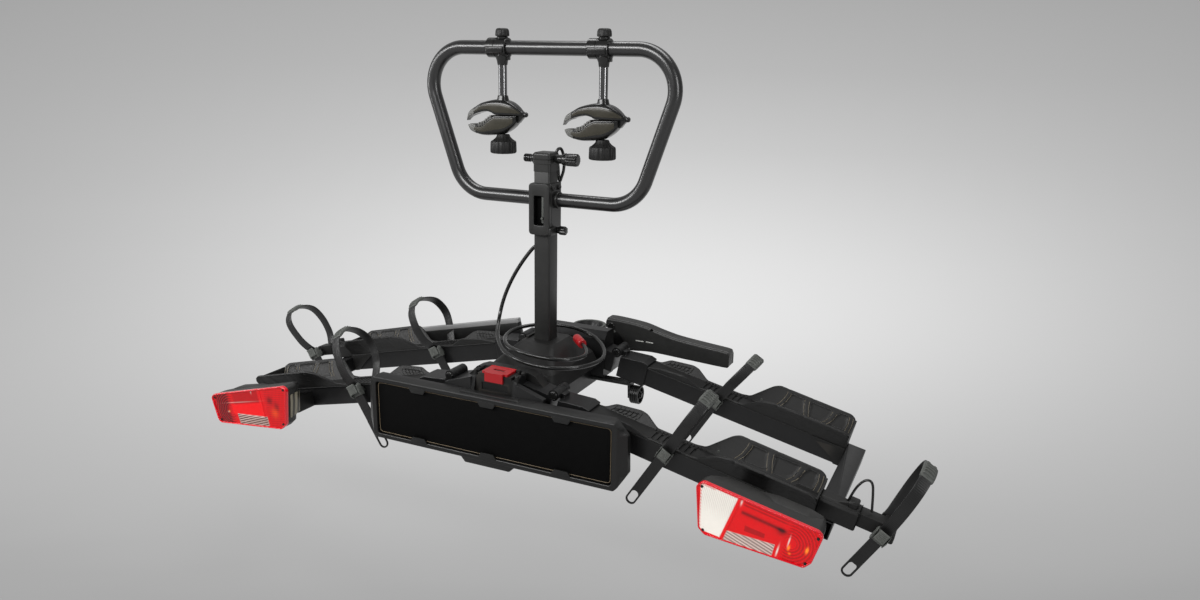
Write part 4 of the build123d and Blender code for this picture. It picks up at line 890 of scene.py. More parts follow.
def lens_form(side, s, h):
    """Relief of a lens in mm and its tones (clear, dark, glow), each from 0 to 1, at the wing's (s, h).

    Its fields, from the plate outwards: a clear window (right lens only), a divider, the centre with a
    clear strip under it, and the eye with its rings. The white spots and band added to clear are painted
    highlights and reflections, and the glow tone marks painted orange glints.
    """
    spots = np.stack([s, h], -1)
    strip = smooth_step(inside(spots, CLEAR_STRIP[side]), -0.5, 0.8)
    strip_along = h + 60 + (0.165 if side == "right" else 0.13) * (s - 570)
    from_eye = np.hypot(s - 630, h + 50)
    eye = smooth_step(from_eye, 9, 12) * (1 - smooth_step(from_eye, 46, 49)) * smooth_step(s, 618, 628)
    rings = eye * ripple(from_eye, 5.2)
    centre = smooth_step(s, 540, 545) * (1 - smooth_step(s, 612, 626)) * (1 - strip)
    divide = 535 + (0.12 if side == "right" else -0.03) * (h + 14)
    divider = 1 - smooth_step(np.abs(s - divide), 1.2, 2.4)
    if side == "right":
        window = smooth_step(inside(spots, CLEAR_WINDOW), -0.5, 1.0)
        wave = ripple(s + 0.10 * h + 0.8 * np.sin(h / 9), 3.0) * smooth_step(h, -80, -30)
        border = 1 - smooth_step(inside(spots, CLEAR_WINDOW), 1.5, 3.5)
        dots = window * border * ripple(h, 5.5) * (s < 492)
        clear = window * (1 - 0.75 * dots) + 0.8 * strip
        dark = window * 0.26 * wave + strip * (0.2 + 0.6 * ripple(strip_along, 5.2))
        dark = dark + centre * (0.75 * level_bar(h, -34, 3.4) + 0.5 * level_bar(h, -20, 1.6))
        dark = dark + centre * 0.5 * level_bar(h, -15, 1.2)
        block = smooth_step(inside(spots, [(554, -54), (589, -53), (590, -62), (555, -65)]), 0, 1)
        dark = dark + 0.45 * block + 0.6 * spot(s, h, 612, -38, 8, 6)
        relief = window * (0.5 + 0.35 * wave)
        # painted glints: orange spots that glow
        glow = spot(s, h, 630, -59, 1.8, 4) + spot(s, h, 658, -50, 2.2, 5)
        glow = glow + 0.5 * spot(s, h, 634, -68, 2, 2)
        # painted highlights: white glints added to the clear tone
        painted_reflection = spot(s, h, 627.5, -48, 0.9, 8) + spot(s, h, 615, -73, 1.2, 9)
        painted_reflection = painted_reflection + 0.8 * spot(s, h, 538, -18, 1.4, 5)
    else:
        clear = 0.75 * strip
        edge = strip * (1 - smooth_step(inside(spots, CLEAR_STRIP[side]), 0.8, 2.2))
        clear = np.maximum(clear, 0.85 * edge)
        band = smooth_step(h, -40, -36)
        border = 1 - smooth_step(inside(spots, [(536, -37), (626, -37), (624, -58), (536, -70)]), -3, 2)
        outwards = smooth_step(s, 626, 640)
        dark = centre * 0.3 * band + 0.22 * border + 0.25 * outwards * (1 - smooth_step(s, 664, 670))
        dots = ripple(s + 0.3 * h, 4.0) * ripple(h, 4.0) * (1 - smooth_step(s, 520, 532))
        dark = dark + 0.5 * dots + 0.35 * ripple(s - h, 5.0) * outwards
        dark = dark + strip * (0.25 + 0.6 * ripple(strip_along, 5.0))
        dark = dark + 0.5 * spot(s, h, 512, -34, 8, 8) + 0.4 * spot(s, h, 496, -48, 6, 9)
        relief = np.zeros_like(s)
        # painted glints: orange spots that glow
        glow = 0.16 * spot(s, h, 505, -62, 9, 9) + 0.6 * spot(s, h, 637, -52, 2, 2)
        # painted highlights: white glints and a pale pink band of reflection along the top
        painted_reflection = 0.9 * spot(s, h, 640, -53, 2.2, 1.6) + 0.55 * spot(s, h, 600, -33.5, 42, 0.9)
        painted_reflection = painted_reflection + 0.7 * spot(s, h, 560, -13, 1.2, 4)
    clear = np.clip(clear + painted_reflection, 0, 1)
    dark = np.clip(dark + 0.45 * rings * (1 - clear), 0, 1)
    relief = relief + 0.6 * strip * (0.5 + ripple(strip_along, 4.2)) + 0.5 * rings
    relief = relief + 1.4 * divider + 0.3 * centre
    return relief, np.stack([clear, dark, np.clip(glow, 0, 1)], -1)


def lamp_front(side, outer):
    """Red rim of a lamp, its moulded lens with the tones on its points, and four screws."""
    rings = ringed(outer, drawn_in(outer, 2.6), (570, -50), 96)
    rim = Shell().ring(ring_slab(*rings, LENS_FRONT, LENS_BACK, "xz", 1.2, 3))
    inner = drawn_in(outer, 2.0)
    inner = np.roll(inner, -int(inner[:, 0].argmin()), 0)
    turn = int(inner[:, 0].argmax())
    ways = [inner[:turn + 1], np.concatenate([inner[turn:], inner[:1]])[::-1]]
    s = np.linspace(inner[0, 0] + 0.02, inner[turn, 0] - 0.02, 230)
    upper, lower = [np.interp(s, way[:, 0], way[:, 1]) for way in ways]
    v = np.linspace(0, 1, 84)
    h = upper[:, None] * (1 - v) + lower[:, None] * v
    s = np.repeat(s[:, None], len(v), 1)
    relief, tones = lens_form(side, s, h)
    front = np.stack([s, LENS_FACE - relief, h], -1)
    back = front[:, [-1, 0]] * [1, 0, 1] + [0, LENS_BACK - 1, 0]
    face = Shell().grid(np.concatenate([front, back], 1))
    rim.wing_piece(side, "lamp_rim", "lens_rim", "red_lens", f"{side}_lamp_lens")
    lens = face.wing_piece(side, "lamp_face", "lens", "red_lens", sharp=50)
    tones = np.concatenate([tones, np.repeat(tones[:, :1], 2, 1)], 1).reshape(-1, 3)
    colours = np.column_stack([tones, np.ones(len(tones))])
    store = lens.data.attributes.new("tones", "FLOAT_COLOR", "POINT")
    store.data.foreach_set("color", colours.ravel())
    screws = Shell()
    for s0, h0 in LAMP_SCREWS[side]:
        screws.lathe([(-509.4, 0.01), (-509.2, 2.4), (-506, 3.0)], (s0, 0, h0), "xz", 14)
    screws.slab(box_outline(508, 556, -84, -50, 2), -442, -394, "xz", 1)
    screws.wing_piece(side, "lamp_screws", "knob", "black_moulding")


def lamp_back(side, outer):
    """Housing of a lamp, the plate light in its inner side, and the loop of lead at the right lamp."""
    rows = []
    depths = [(LENS_BACK, 1.2), (-483, 1.4), (-474, 2.2), (-464, 3.6), (-452, 6), (-443, 9), (-440, 14)]
    for y, by in depths:
        row = np.insert(drawn_in(outer, by), 1, y, axis=1)
        row[:, 0] += 22 * smooth_step(y, -482, -448) * (1 - smooth_step(row[:, 0], 480, 580))
        rows.append(row)
    shell = Shell().grid(np.stack(rows))
    ridge = [(552, -18), (586, -11.6), (640, -11), (664, -15), (664, -22), (552, -22)]
    shell.slab(rounded(ridge, 4), LENS_BACK + 26, -446, "xz", 2)
    shell.wing_piece(side, "lamp_back", "housing", "black_moulding", f"{side}_lamp_housing")
    rows = slab(rounded([(-496, -28), (-466, -27), (-466, -72), (-496, -78)], 3), 0, 1.6, "yz", 0.6)
    rows[..., 0] += 457.6 + 0.30 * (-14 - rows[..., 2]) + 0.10 * (rows[..., 1] + 497)
    Shell().grid(rows).wing_piece(side, "plate_light", "clear", "red_lens")
    if side == "right":
        loop = [(686, -16), (688, 0), (692, 20), (699, 35), (707, 40), (714, 35), (720, 18), (728, -12)]
        line = curve_through([(s, ROWS["front"], h) for s, h in loop], 60)
        lead = Shell().grid(swept(line, circle((0, 0), 2.2, 12), (0, 1, 0)))
        lead.wing_piece(side, "lamp_lead", "cable", "black_moulding")


def along_line(points, start, end):
    """Turns points so that their z runs from start to end: start + x u + y v + z w, w the unit line."""
    w = (end - start) / np.linalg.norm(end - start)
    u = np.cross(w, (0.0, 0.0, 1.0))
    u = u / np.linalg.norm(u)
    return start + points[..., :1] * u + points[..., 1:2] * np.cross(w, u) + points[..., 2:] * w


def tube(path, radius, reference):
    """Round section carried along a line in space: its sides are square to the line and to a reference."""
    path = np.asarray(path, float)
    ahead = np.gradient(path, axis=0)
    side = np.cross(ahead, reference)
    side = side / np.linalg.norm(side, axis=1, keepdims=True)
    out = np.cross(side, ahead)
    out = out / np.linalg.norm(out, axis=1, keepdims=True)
    ring = circle((0, 0), radius, 12)
    return path[:, None] + ring[:, :1] * side[:, None] + ring[:, 1:] * out[:, None]


# Hoop: its place y, its radius and that of its bends, then the corners of its line as (x, z)
HOOP = (-208.0, 14.0, 75.0)
HOOP_CORNERS = [(23, 359), (197, 359), (298, 653), (-298, 653), (-197, 359), (-23, 359)]
MAST_BOX = (-18, 18, -231, -193)
MAST_Y = -212


def hoop_pipe():
    """Bent hoop tube."""
    y, radius, bend = HOOP
    path = rounded(HOOP_CORNERS, bend, 20, False)
    path = np.insert(path, 1, y, axis=1)
    pipe = Shell().grid(swept(path, circle((0, 0), radius, 40), (0, 1, 0)))
    pipe.piece("hoop_pipe", "hoop", "powder", "powder_coat", "hoop_tube", sharp=60)


def mast_with_cap():
    """Square mast with the clip of the cable, and its cap in tiers."""
    outline = box_outline(*MAST_BOX, 4, 5)
    mast = Shell().slab(outline, -5, 432, "xy", 0.8)
    clip = ringed(circle((-192, 268), 8), circle((-188, 268), 4.3), (-188, 268))
    mast.ring(ring_slab(*clip, -17, -3, "yz", 1.2))
    mast.piece("mast_post", "platform", "post", "powder_coat", "mast_tube")
    tiers = [(0, 416), (-1.2, 416), (-1.2, 430.6), (-2.2, 431.4), (-2.2, 439), (-1.1, 439.8), (-1.1, 441),
             (-2.4, 441.8), (-2.4, 448), (-1.4, 449.4), (-1.2, 451.4), (0.2, 453.2), (2.0, 454)]
    cap = Shell().grid(level_rows(outline, tiers))
    cap.piece("mast_head", "platform", "post", "black_moulding", "mast_cap")


def cross_bolt():
    """Cross bolt through the mast with the loop of its lanyard, and the lock knob on its end."""
    pin = [(-48, 5.6), (-47.6, 7.8), (-46.6, 8.2), (-44, 8.2), (-43.2, 6.6), (-42.4, 8.2), (-39.4, 8.2),
           (-38.6, 6.6), (-37.8, 8.2), (-34.6, 8.2), (-33.6, 6.8), (-29, 6.8), (-28.2, 9.4), (-27, 10.2),
           (-23, 10.2), (-21, 8.6), (-20.2, 5), (66, 5)]
    bolt = Shell().lathe(pin, (0, MAST_Y, 440), "yz", 28)
    lanyard = [(14, -196, 449), (16, -195, 456), (19, -192, 460), (22, -188, 458), (24, -184, 448),
               (25, -181.5, 434), (23.5, -181, 416), (19, -181, 402), (15.5, -182, 393), (13.5, -183, 404),
               (12.5, -184, 424), (12, -190, 438)]
    bolt.grid(tube(curve_through(lanyard, 90), 3.1, (1, 0, 0)))
    bolt.piece("lock_bolt_pin", "platform", "gloss", "knob_plastic", "lock_bolt")
    lock = lathe([(24, 6, 0), (24, 8.4, 0), (25, 9, 0), (37, 9, 0), (38.4, 10.6, 0), (40.4, 12.2, 0),
                  (42, 12.5, 0), (45, 12.5, 0), (46, 11.4, 0), (48, 11.4, 0), (49, 12.5, 1.2),
                  (52, 12.6, 2.2), (69, 12.6, 2.2), (71, 11.8, 1.8), (72, 10, 1.2), (72, 5, 0)],
                 (0, MAST_Y, 441), "yz", 96, 12)
    Shell().grid(lock).piece("lock_barrel", "lock_knob", "gloss", "knob_plastic", "lock_knob")


def hoop_bracket():
    """Sleeve on the mast with a window, sockets for the hoop and lugs for its clamp screw and knob."""
    window = ringed(box_outline(-23, 23, 290, 394, 7), box_outline(-11, 11, 310, 369, 3), (0, 340), 64)
    bracket = Shell().ring(ring_slab(*window, -243, -231.6, "xz", 1.8, 3))
    bore = box_outline(-18.4, 18.4, -231.4, -192.6, 2)
    sleeve = ringed(box_outline(-22.4, 22.4, -232, -187, 3), bore, (0, MAST_Y), 64)
    bracket.ring(ring_slab(*sleeve, 291, 393, "xy", 1.0))
    socket = [(22, 14.1), (22, 16.6), (24, 17.2), (28, 17.2), (29.6, 16.4), (30, 15), (30, 14.1)]
    for face in (-1, 1):
        bracket.ring(lathe([(face * x, r) for x, r in socket], (0, HOOP[0], 359), "yz", 36))
        lug = box_outline(-242, -220, 290, 306, 3)
        bracket.slab(lug, 22, 25 + 2 * face, "yz", 1)
    head = [(22, 5.6), (25.6, 5.6), (26.6, 4.6), (27, 2.4), (26.2, 2.0), (26.2, 0.01)]
    bracket.lathe(head, (0, -226, 384), "yz", 6)
    bracket.lathe(head, (0, -200, 384), "yz", 6)
    bracket.piece("bracket_sleeve", "hoop", "post", "cast_black", "hoop_bracket")
    # painted shade: a near black plate and lining fill the window so that it reads deep
    inner = Shell().slab(box_outline(-10.6, 10.6, 310.4, 368.6, 2), -232.6, -231.4, "xz", 0.2)
    lining = box_outline(-10.8, 10.8, 310.2, 368.8, 2.6)
    lining = ringed(box_outline(-11.4, 11.4, 309.6, 369.4, 3), lining, (0, 340), 64)
    inner.ring(ring_slab(*lining, -242.4, -232, "xz", 0.2))
    inner.piece("bracket_depth", "hoop", "panel", "cast_black")
    strip = Shell().slab(box_outline(4.5, 10, 314, 368, 1), -239, -232, "xz", 0.6)
    strip.lathe([(-242.5, 0.01), (-242, 2.4), (-239, 3.4)], (6.5, 0, 324), "xz", 16)
    strip.piece("bracket_strip", "hoop", "grey", "cast_black")
    knob = lathe([(18.5, 4, 0), (23.6, 4, 0), (23.6, 6.5, 0), (31, 6.5, 0), (31.4, 8, 0.6), (33, 9, 1.6),
                  (44, 9, 1.8), (46.4, 8, 1.4), (47, 6, 0.6), (47, 1, 0)], (0, MAST_Y, 298), "yz", 72, 6)
    Shell().grid(knob).piece("bracket_grip", "bracket_knob", "gloss", "knob_plastic", "bracket_knob")


# Clamps: lines of the jaws as (x, z) and half their width as (x, y), from the arm and JAW_Z
ARM_X = {"left": -101.0, "right": 122.0}
JAW_Z = 522.0
UPPER_OUT = [(-83, -13), (-80, -2), (-75, 6), (-60, 15), (-42, 24), (-8, 31), (16, 28), (32, 20), (46, 8)]
UPPER_IN = [(-83, -13.4), (-77, -7), (-68, -2.5), (-54, 2), (-40, 5.5), (-28, 6.5), (-17, 4), (-6, 0.3),
            (46, 0.3)]
LOWER_OUT = [(-78, -25), (-74, -32), (-68, -36), (-50, -41), (-30, -42), (-4, -39), (12, -34), (29, -22),
             (44, -3)]
LOWER_IN = [(-78, -22), (-70, -20), (-50, -21), (-38, -18), (-26, -9), (-14, -2), (-6, -0.3), (44, -0.3)]
JAW_HALF = [(-83, 6), (-74, 10), (-44, 17), (-14, 19), (16, 17), (33, 13), (46, 7)]


def jaw_form(x, low, high, inner, outer, gap=0.0, wide=0.0, count=60):
    """Jaw between an inner and an outer line: at each x its section is y = w cos^p, z = t sin^p, signs kept.

    w is half the jaw's width plus wide, t half its height less gap, and p is 0.6 outside and 0.2 inside.
    """
    at = low + (high - low) * (0.5 - 0.5 * np.cos(np.linspace(0, math.pi, count)))
    lines = [curve_through(line, 80) for line in (inner, outer, JAW_HALF)]
    near, far, half = [np.interp(at, line[:, 0], line[:, 1]) for line in lines]
    middle = (near + far) / 2
    tall = np.maximum(np.abs(far - near) / 2 - gap, 0.1)
    half = half + wide
    angle = np.linspace(0, 2 * math.pi, 36, endpoint=False)
    outward = np.sign(outer[4][1] - inner[4][1])
    power = np.where(np.sin(angle) * outward > 0, 0.6, 0.2)
    square = np.sign(np.cos(angle)) * np.abs(np.cos(angle)) ** power
    round_top = np.sign(np.sin(angle)) * np.abs(np.sin(angle)) ** power
    y = HOOP[0] + half[:, None] * square
    z = JAW_Z + middle[:, None] + tall[:, None] * round_top
    return np.stack([np.repeat(x + at[:, None], 36, 1), y, z], -1)


def clamp_arm(side, x, y):
    """Arm on the hoop: split collar, rod and upper jaw with its face and beak."""
    arm = Shell()
    collar = [(-30, 14.3), (-30, 18.4), (-29, 19.4), (-12, 19.4), (-11.4, 18.3), (-9.8, 18.3), (-9.2, 19.4),
              (13, 19.4), (14, 18.4), (14, 14.3)]
    arm.ring(lathe(collar, (x, y, 653), "yz", 48))
    arm.slab(box_outline(-229, -222, 643, 655, 2), x - 27, x + 11, "yz", 1.2)
    arm.lathe([(668, 8), (670, 10.8), (673.5, 11.2), (674.4, 10.2)], (x, y, 0), "xy", 32)
    arm.lathe([(619, 8.6), (620, 10.4), (628, 11.6), (635, 14.6), (641, 14.8)], (x, y, 0), "xy", 8)
    arm.slab(box_outline(-213, -203, 629, 641, 2), x + 11, x + 16, "yz", 1.2)
    foot = [(546, 8), (546, 13), (549, 13.4), (554, 11.6), (560, 10.4), (561, 8.6)]
    arm.lathe(foot, (x, y, 0), "xy", 32)
    arm.grid(jaw_form(x, -83, 46, UPPER_IN, UPPER_OUT))
    hinge = [(-214, 1), (-214, 4), (-213, 5), (-203, 5), (-202, 4), (-202, 1)]
    arm.lathe(hinge, (x + 41, 0, JAW_Z + 3), "xz", 28)
    nose = [(41, 3), (47, 3), (48, 4.4), (51, 5.4), (54, 5.2), (56.4, 3.6), (57, 0.01)]
    arm.lathe(nose, (x, y, JAW_Z + 2), "yz", 20)
    arm.piece(f"{side}_arm_jaw", f"{side}_arm", "gloss", "jaw_plastic", f"{side}_clamp_arm", sharp=42)
    rod = lathe([(550, 8.6), (620, 8.6)], (x, y, 0), "xy", 40)
    Shell().grid(rod).piece(f"{side}_arm_rod", f"{side}_arm", "rod", "steel_pins")
    plates = Shell().grid(jaw_form(x, -60, 43, UPPER_IN, UPPER_OUT, 3.4, 0.5))
    plates.piece(f"{side}_upper_face", f"{side}_arm", "face", "jaw_plastic", sharp=60)
    beak = Shell().grid(jaw_form(x, -83.2, -62, UPPER_IN, UPPER_OUT, -0.35, 0.35, 20))
    beak.piece(f"{side}_upper_beak", f"{side}_arm", "beak", "jaw_plastic", sharp=60)


def lower_jaw(side, x, y):
    """Lower jaw with its hinge knuckle, its face and its toothed pad."""
    lower = Shell().grid(jaw_form(x, -78, 36, LOWER_IN, LOWER_OUT))
    knuckle = rounded([(34, -20), (34, -1), (38, 8), (46, 9), (50, 3), (48, -4)], 3) + [x, JAW_Z]
    lower.slab(knuckle, y - 5.8, y + 5.8, "xz")
    lower.piece(f"{side}_jaw_shell", f"{side}_lower_jaw", "gloss", "jaw_plastic", f"{side}_lower_jaw",
                sharp=42)
    plates = Shell().grid(jaw_form(x, -62, 30, LOWER_IN, LOWER_OUT, 3.6, 0.5))
    plates.piece(f"{side}_lower_face", f"{side}_lower_jaw", "face", "jaw_plastic", sharp=60)
    pad = Shell()
    for index in range(6):
        low = x - 49 + 5.4 * index
        base = JAW_Z + float(np.interp(low + 2 - x, *np.transpose(LOWER_IN)))
        pad.slab(box_outline(low, low + 4.2, base - 4, base + 4.6, 1.2), y - 18.4, y + 18.4, "xz", 1)
    pad.grid(jaw_form(x, -78.2, -58, LOWER_IN, LOWER_OUT, -0.3, 0.4, 20))
    pad.piece(f"{side}_jaw_pad", f"{side}_lower_jaw", "beak", "grey_plastic")


def clamp_knobs(side, x, y):
    """Fluted knob of the jaw's screw and the smaller one on the collar."""
    knob = lathe([(483.5, 4, 0), (483.5, 12, 0), (481, 13.4, 0.4), (478, 14.6, 0.6), (474.5, 18, 0.8),
                  (471, 22.6, 1.0), (469.4, 25.4, 1.2), (467, 26.4, 1.5), (449, 27, 1.5), (446.6, 26, 1.4),
                  (445.5, 24, 1), (445.5, 6, 0)], (x, y, 0), "xy", 144, 14)
    grip = Shell().grid(knob).lathe([(473, 3.9), (508, 3.9)], (x, y, 0), "xy", 20)
    grip.piece(f"{side}_jaw_grip", f"{side}_jaw_knob", "knob", "knob_plastic", f"{side}_jaw_knob")
    top = lathe([(674.8, 4, 0), (674.8, 12.6, 0), (675.6, 13.8, 0), (677, 14.2, 0.4), (679, 14.2, 0.9),
                 (685, 13.6, 1), (688, 12.4, 0.8), (689.6, 10.4, 0.4), (690.2, 7, 0), (690.2, 2, 0)],
                (x, y, 0), "xy", 96, 12)
    Shell().grid(top).piece(f"{side}_collar_grip", f"{side}_collar_knob", "knob", "knob_plastic",
                            f"{side}_collar_knob")


# Recess of the number plate, as (x, z)
PLATE_HALF = 262.0
PLATE_LOW = -112.0
PLATE_MIDDLE = (0.0, -56.0)


def plate_holder():
    """Number plate holder: bevelled tray, bare panel, fine line round it and clip lugs."""
    def both(points, radius):
        mirrored = [(-x, z) for x, z in reversed(points)]
        return rounded(points + mirrored, radius, 3)

    def panel_outline(inset, radius, steps=3):
        return box_outline(inset - PLATE_HALF, PLATE_HALF - inset, PLATE_LOW + inset, -inset, radius, steps)

    recess = both([(PLATE_HALF, PLATE_LOW), (PLATE_HALF, 0)], 6)
    outlines = [(-424, both([(268, -120), (290, -86), (288, -16), (262, 13)], 8)),
                (-434, both([(268, -121), (289, -88), (287, -14), (264, 13)], 8)),
                (-444.5, both([(266.5, -121.5), (275, -112), (275, 0), (266.5, 9.6)], 5)),
                (-447.2, both([(266, -121), (272.6, -115), (272.6, 3), (266, 9)], 5)),
                (-448, both([(265, -120), (271.5, -114.4), (271.5, 2.4), (265, 8)], 5))]
    corners = np.concatenate([outline for _, outline in outlines] + [recess]) - PLATE_MIDDLE
    angles = np.unique(np.round(np.concatenate([np.arctan2(corners[:, 1], corners[:, 0]),
                                                np.linspace(-3.14, 3.14, 60)]), 4))
    rows = [np.insert(seen_from(outline, np.array(PLATE_MIDDLE), angles), 1, y, axis=1)
            for y, outline in outlines]
    inner = seen_from(recess, np.array(PLATE_MIDDLE), angles)
    rows += [np.insert(drawn_in(inner, by), 1, y, axis=1)
             for y, by in ((-448, -0.8), (-447.4, 0), (-441.4, 0.3))]
    holder = Shell().grid(np.stack(rows))
    for column in (-160, 0, 160):
        for edge, inwards in ((0, -1), (PLATE_LOW, 1)):
            lug = [(column - 22, edge - 3 * inwards), (column + 22, edge - 3 * inwards),
                   (column + 14, edge + 9 * inwards), (column - 14, edge + 9 * inwards)]
            holder.slab(rounded(lug, 2.5), -448.6, -445, "xz", 0.8)
    tab = [(-70, -116), (64, -116), (46, -134), (-54, -134)]
    holder.slab(rounded(tab, 5), -444, -426, "xz", 2.5)
    holder.slab(rounded([(-76, 5), (76, 5), (62, 14), (-62, 14)], 4), -441, -426, "xz", 1.5)
    holder.piece("plate_tray", "platform", "handle", "black_moulding", "plate_holder")
    panel = Shell().slab(panel_outline(0.6, 5), -442.6, -441.2, "xz", 0.3)
    panel.piece("plate_panel", "platform", "panel", "black_moulding")
    line = evenly(closed(panel_outline(3.2, 7, 6)), 400, True)
    stripe = swept(np.insert(line, 1, -442.7, axis=1), circle((0, 0), 0.55, 6), (0, 1, 0), True)
    Shell().ring(stripe).piece("plate_line", "platform", "stripe", "black_moulding")


def cable_cap():
    """Red ferrule on the cable's end, with a rolled mouth and a notch line, along the cable's last run."""
    profile = [(-1, 4.1), (-1, 8.2), (0.4, 9.2), (5, 9.2), (6, 8.0), (8, 8.0), (9, 9.2), (30, 9.4),
               (34, 9.2), (38, 8.4), (39.6, 6.6), (40, 4), (40, 0.01)]
    shape = lathe(profile, (0, 0, 0), "xy", 32)
    before, last = np.array(CABLE_ROUTE[-2:], float)
    cap = Shell().grid(along_line(shape, last, 2 * last - before))
    return cap.piece("cable_end_ferrule", "platform", "red", "red_release", "cable_end_cap")


# Upper and lower line of the clamping handle, as (x, z)
LEVER_TOP = [(50, 62), (53, 66.6), (80, 66.5), (138, 61), (180, 50.5), (221, 42), (280, 35.5), (334, 30.2),
             (342, 26), (343, 22)]
LEVER_LOW = [(50, 45), (76, 38), (92, 22), (106, 0), (120, -1), (165, 2), (250, -2.2), (334, -6.4),
             (343, -3.5)]


def lever_handle():
    """Clamping handle: a channel along x between two lines, its top rounded, with a dent and two marks."""
    x = np.linspace(50, 343, 120)
    top, low = [np.interp(x, *curve_through(line, 200).T) for line in (LEVER_TOP, LEVER_LOW)]
    turn = np.linspace(0, math.pi / 2, 6)
    corner_y = np.concatenate([-17 + 6 * (1 - np.cos(turn)), np.linspace(-9, 9, 9),
                               17 - 6 * (1 - np.sin(turn))])
    corner_z = np.concatenate([-6 + 6 * np.sin(turn), np.zeros(9), -6 + 6 * np.cos(turn)])
    dent = 1.6 * spot(x[:, None], corner_y[None], 205, 0, 26, 5.5)
    outer = np.stack([np.repeat(x[:, None], 21, 1), np.repeat(corner_y[None], 120, 0),
                      top[:, None] + corner_z - np.where(np.abs(corner_y) < 9.5, dent, 0)], -1)
    feet = [np.stack([x, np.full(120, y), low], -1)[:, None] for y in (-17, 17, 13.6, -13.6)]
    roof = [np.stack([x, np.full(120, y), np.maximum(top - 4.5, low + 0.5)], -1)[:, None]
            for y in (13.6, -13.6)]
    handle = Shell().grid(np.concatenate([feet[0], outer, feet[1], feet[2], *roof, feet[3]], 1))
    handle.slab(box_outline(-16.2, 16.2, -4.5, 23, 4), 338, 342.6, "yz", 1.5)
    handle.piece("lever_handle", "lever", "post", "black_moulding", "lever", sharp=40)
    marks = Shell()
    for low_x, high_x in ((124, 143), (149, 166)):
        marks.slab(box_outline(low_x, high_x, 22.6, 25, 0.5), -17.3, -16.6, "xz", 0.2)
    marks.piece("lever_marks", "lever", "mark", "black_moulding")
    notch = Shell().slab(rounded([(156, 50), (166, 51), (162, 58)], 1), -17.4, -15, "xz", 0.4)
    notch.piece("lever_notch", "lever", "panel", "black_moulding")
    rims = Shell()
    washer = [(-12.9, 19.5), (-13.6, 22), (-12.9, 24.2), (-11.4, 25.3), (-11, 24)]
    rims.ring(lathe(washer, (82, 0, 18), "xz", 48))
    rims.ring(lathe([(39, 38.6), (40.8, 37.6), (41.2, 35), (40.8, 32.4), (39, 31.6)], (0, 0, 0), "xy", 48))
    rims.piece("coupling_rims", "coupling", "grey", "cast_black")


def trolley_wheel(side):
    """Trolley wheel: grooved tread, web, five spokes and a hub cap."""
    tread = [(155, 15.5), (155, 19), (156.5, 20)]
    for groove in (158.5, 163.2, 167.9):
        tread += [(groove, 20), (groove + 0.7, 18.6), (groove + 1.9, 18.6), (groove + 2.6, 20)]
    tread += [(173.5, 20), (175, 19), (175, 16.4), (173, 15.5)]
    centre = np.array([0, -102, -69.5])
    wheel = Shell().ring(lathe(tread, centre, "yz", 48))
    wheel.lathe([(158, 15.8), (162, 15.8)], centre, "yz", 48)
    hub = [(155, 7), (174, 7), (175, 6), (175, 4), (173.6, 3.4), (173.6, 0.01)]
    wheel.lathe(hub, centre, "yz", 24)
    for index in range(5):
        angle = 2 * math.pi * index / 5 + 0.3
        out = np.array([math.cos(angle), math.sin(angle)])
        across = np.array([-out[1], out[0]])
        spoke = np.array([6 * out - 2.4 * across, 16 * out - 1.5 * across,
                          16 * out + 1.5 * across, 6 * out + 2.4 * across])
        wheel.slab(spoke + centre[1:], 161, 173, "yz", 0.6)
    if side == "left":
        wheel.moved(lambda points: points * [-1, 1, 1])
    wheel.piece(f"{side}_wheel_form", f"{side}_trolley_wheel", "handle", "knob_plastic",
                f"{side}_trolley_wheel")


def latch_trim():
    """Dark slot of the red flap and the round posts beside the latch box."""
    trim = Shell().slab(box_outline(-11.6, 11.6, -401.6, -394.4, 1.5), 49.7, 50.1, "xy", 0.1)
    trim.piece("flap_slot", "latch_button", "knob", "red_release")
    posts = Shell()
    profile = [(38, 4.4), (49.5, 4.4), (51, 3.2), (51.2, 0.01)]
    for face in (-1, 1):
        for y in (-410, -386):
            posts.lathe(profile, (face * 46, y, 0), "xy", 20)
    posts.piece("latch_posts", "platform", "knob", "black_moulding")


def extension_bar(side):
    """Sliding bar of the outer strap, lower where it lies in the tray, with the strap's saddle."""
    row = ROWS[EXTENSION_ROW[side]]
    profile = [(596, -40.6), (760, -40.6), (760, -16), (646, -16), (640, -26), (596, -26)]
    bar = Shell().slab(rounded(profile, 1.5), row - 15, row + 15, "xz", 1.2)
    bar.slab(box_outline(743, 775, row - 27, row + 27, 5), -40.6, -28, "xy", 1.5)
    bar.slab(box_outline(746, 773, row - 25, row + 25, 4), -29, -20.6, "xy", 2.0)
    bar.slab(box_outline(751, 757, row - 25.4, row + 25.4, 2), -22, -17.8, "xy", 1.2)
    bar.moved(on_wing, side)
    bar.piece(f"{side}_bar_form", f"{side}_extension", "moulded", "black_moulding", f"{side}_extension_bar")


FLOOR_LEVEL = -0.42
FLOOR_START = -1.97
WORLD_LIGHT = 0.16
WORLD_SEEN = 0.5


